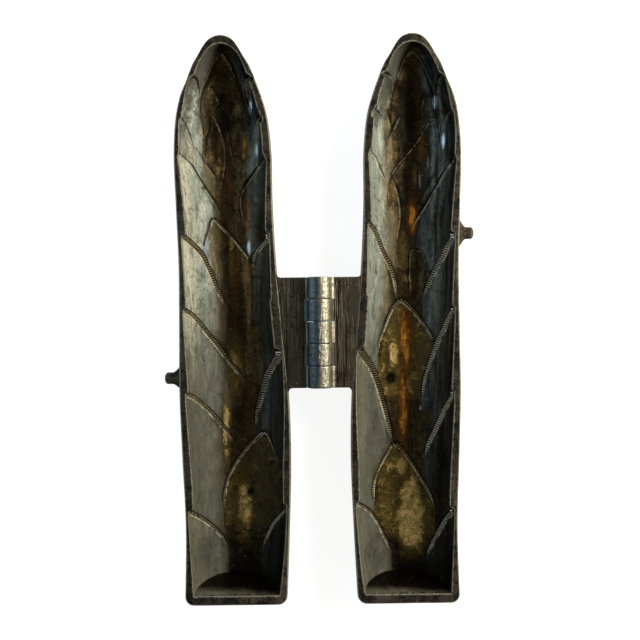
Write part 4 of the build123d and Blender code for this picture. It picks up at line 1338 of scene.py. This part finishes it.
class MouldStageSettings(bpy.types.PropertyGroup):
    """Studio values that a user may change."""

    key_power: FloatProperty(
        name="Key lamp", description="Power of the large lamp on the right", default=4.8, min=0.0, max=60.0,
        unit="POWER")
    world_level: FloatProperty(
        name="World level", description="Strength of the even light from all round", default=0.15, min=0.0,
        max=1.0)
    camera_height: FloatProperty(
        name="Camera height", description="Height of the camera above the rims", default=0.3, min=0.1,
        max=2.0, unit="LENGTH")


class MOULD_OT_castings(bpy.types.Operator):
    """Build the two cast halves with their bracts, rims, outsides and thumb lugs"""

    bl_idname = "mould.castings"
    bl_label = "Cast halves"

    def execute(self, context):
        material = pewter_material(shader_groups())
        for name, node, body, bracts, lumps, lug, stains, mirror, seed in HALVES:
            half = build_casting(name, bracts, lumps, lug, stains, mirror, seed)
            half.data.materials.append(material)
            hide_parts(node)
            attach(half, body)
        return {"FINISHED"}


class MOULD_OT_hinge(bpy.types.Operator):
    """Build the two hinge leaves with their knuckles and give the pin its metal"""

    bl_idname = "mould.hinge"
    bl_label = "Hinge"

    def execute(self, context):
        groups = shader_groups()
        finishes = {"left_leaf": leaf_material(groups, "Left leaf metal", SHADE.left_leaf, 1.0),
                    "right_leaf": leaf_material(groups, "Right leaf metal", SHADE.right_leaf, 0.6)}
        for name, node, body, first, grooves, mirror, seed in LEAVES:
            leaf = build_leaf(name, knuckle_spans(first), grooves, mirror, seed)
            leaf.data.materials.append(finishes[name])
            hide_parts(node)
            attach(leaf, body)
        steel = pin_material(groups)
        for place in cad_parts["hinge_pin"].material_slots:
            place.material = steel
        return {"FINISHED"}


class MOULD_OT_stage(bpy.types.Operator):
    """Set up the pale floor, the soft lamps, the world and the camera straight above"""

    bl_idname = "mould.stage"
    bl_label = "Studio"

    def execute(self, context):
        stage = context.scene.mould_stage
        mesh = bpy.data.meshes.new("floor")
        corners = ((-FLOOR_SIDE, -FLOOR_SIDE), (FLOOR_SIDE, -FLOOR_SIDE), (FLOOR_SIDE, FLOOR_SIDE),
                   (-FLOOR_SIDE, FLOOR_SIDE))
        mesh.from_pydata([(x, y, FLOOR_DOWN) for x, y in corners], [], [(0, 1, 2, 3)])
        mesh.materials.append(floor_material())
        floor = bpy.data.objects.new("floor", mesh)
        context.scene.collection.objects.link(floor)
        white_world(stage.world_level)
        soft_lamp("key", stage.key_power)
        soft_lamp("cool_fill", FILL_POWER)
        camera_data = bpy.data.cameras.new("camera")
        camera_data.angle = 2.0 * math.atan(SEEN_HALF / SEEN_FROM)
        camera_data.clip_start, camera_data.clip_end = CAMERA_CLIP
        camera = bpy.data.objects.new("camera", camera_data)
        camera.location = (*CAMERA_OFF, RIM_Z * MM + stage.camera_height)
        camera.rotation_euler = (0.0, 0.0, CAMERA_TURN)
        context.scene.collection.objects.link(camera)
        context.scene.camera = camera
        context.scene.view_settings.view_transform = "Standard"
        return {"FINISHED"}


class MOULD_PT_panel(bpy.types.Panel):
    """Sidebar panel that lists the sizes, the colours and the building steps"""

    bl_idname = "MOULD_PT_panel"
    bl_label = "Spear mould"
    bl_space_type = "VIEW_3D"
    bl_region_type = "UI"
    bl_category = "Mould"

    def draw(self, context):
        scene = context.scene
        for group, step in ((scene.mould_casting, "mould.castings"), (scene.mould_finish, "mould.hinge"),
                            (scene.mould_stage, "mould.stage")):
            box = self.layout.box()
            for key in group.__annotations__:
                box.prop(group, key)
            box.operator(step)


CLASSES = (MouldCastingSettings, MouldFinishSettings, MouldStageSettings, MOULD_OT_castings, MOULD_OT_hinge,
           MOULD_OT_stage, MOULD_PT_panel)


def register():
    """Register the classes and hang the settings on the scene."""
    for made in CLASSES:
        bpy.utils.register_class(made)
    bpy.types.Scene.mould_casting = PointerProperty(type=MouldCastingSettings)
    bpy.types.Scene.mould_finish = PointerProperty(type=MouldFinishSettings)
    bpy.types.Scene.mould_stage = PointerProperty(type=MouldStageSettings)


def unregister():
    """Take the settings off the scene and the classes out again."""
    del bpy.types.Scene.mould_casting, bpy.types.Scene.mould_finish, bpy.types.Scene.mould_stage
    for made in reversed(CLASSES):
        bpy.utils.unregister_class(made)


def main():
    """Register the classes and build everything in order."""
    register()
    bpy.ops.mould.castings()
    bpy.ops.mould.hinge()
    bpy.ops.mould.stage()


if __name__ == "__main__":
    main()
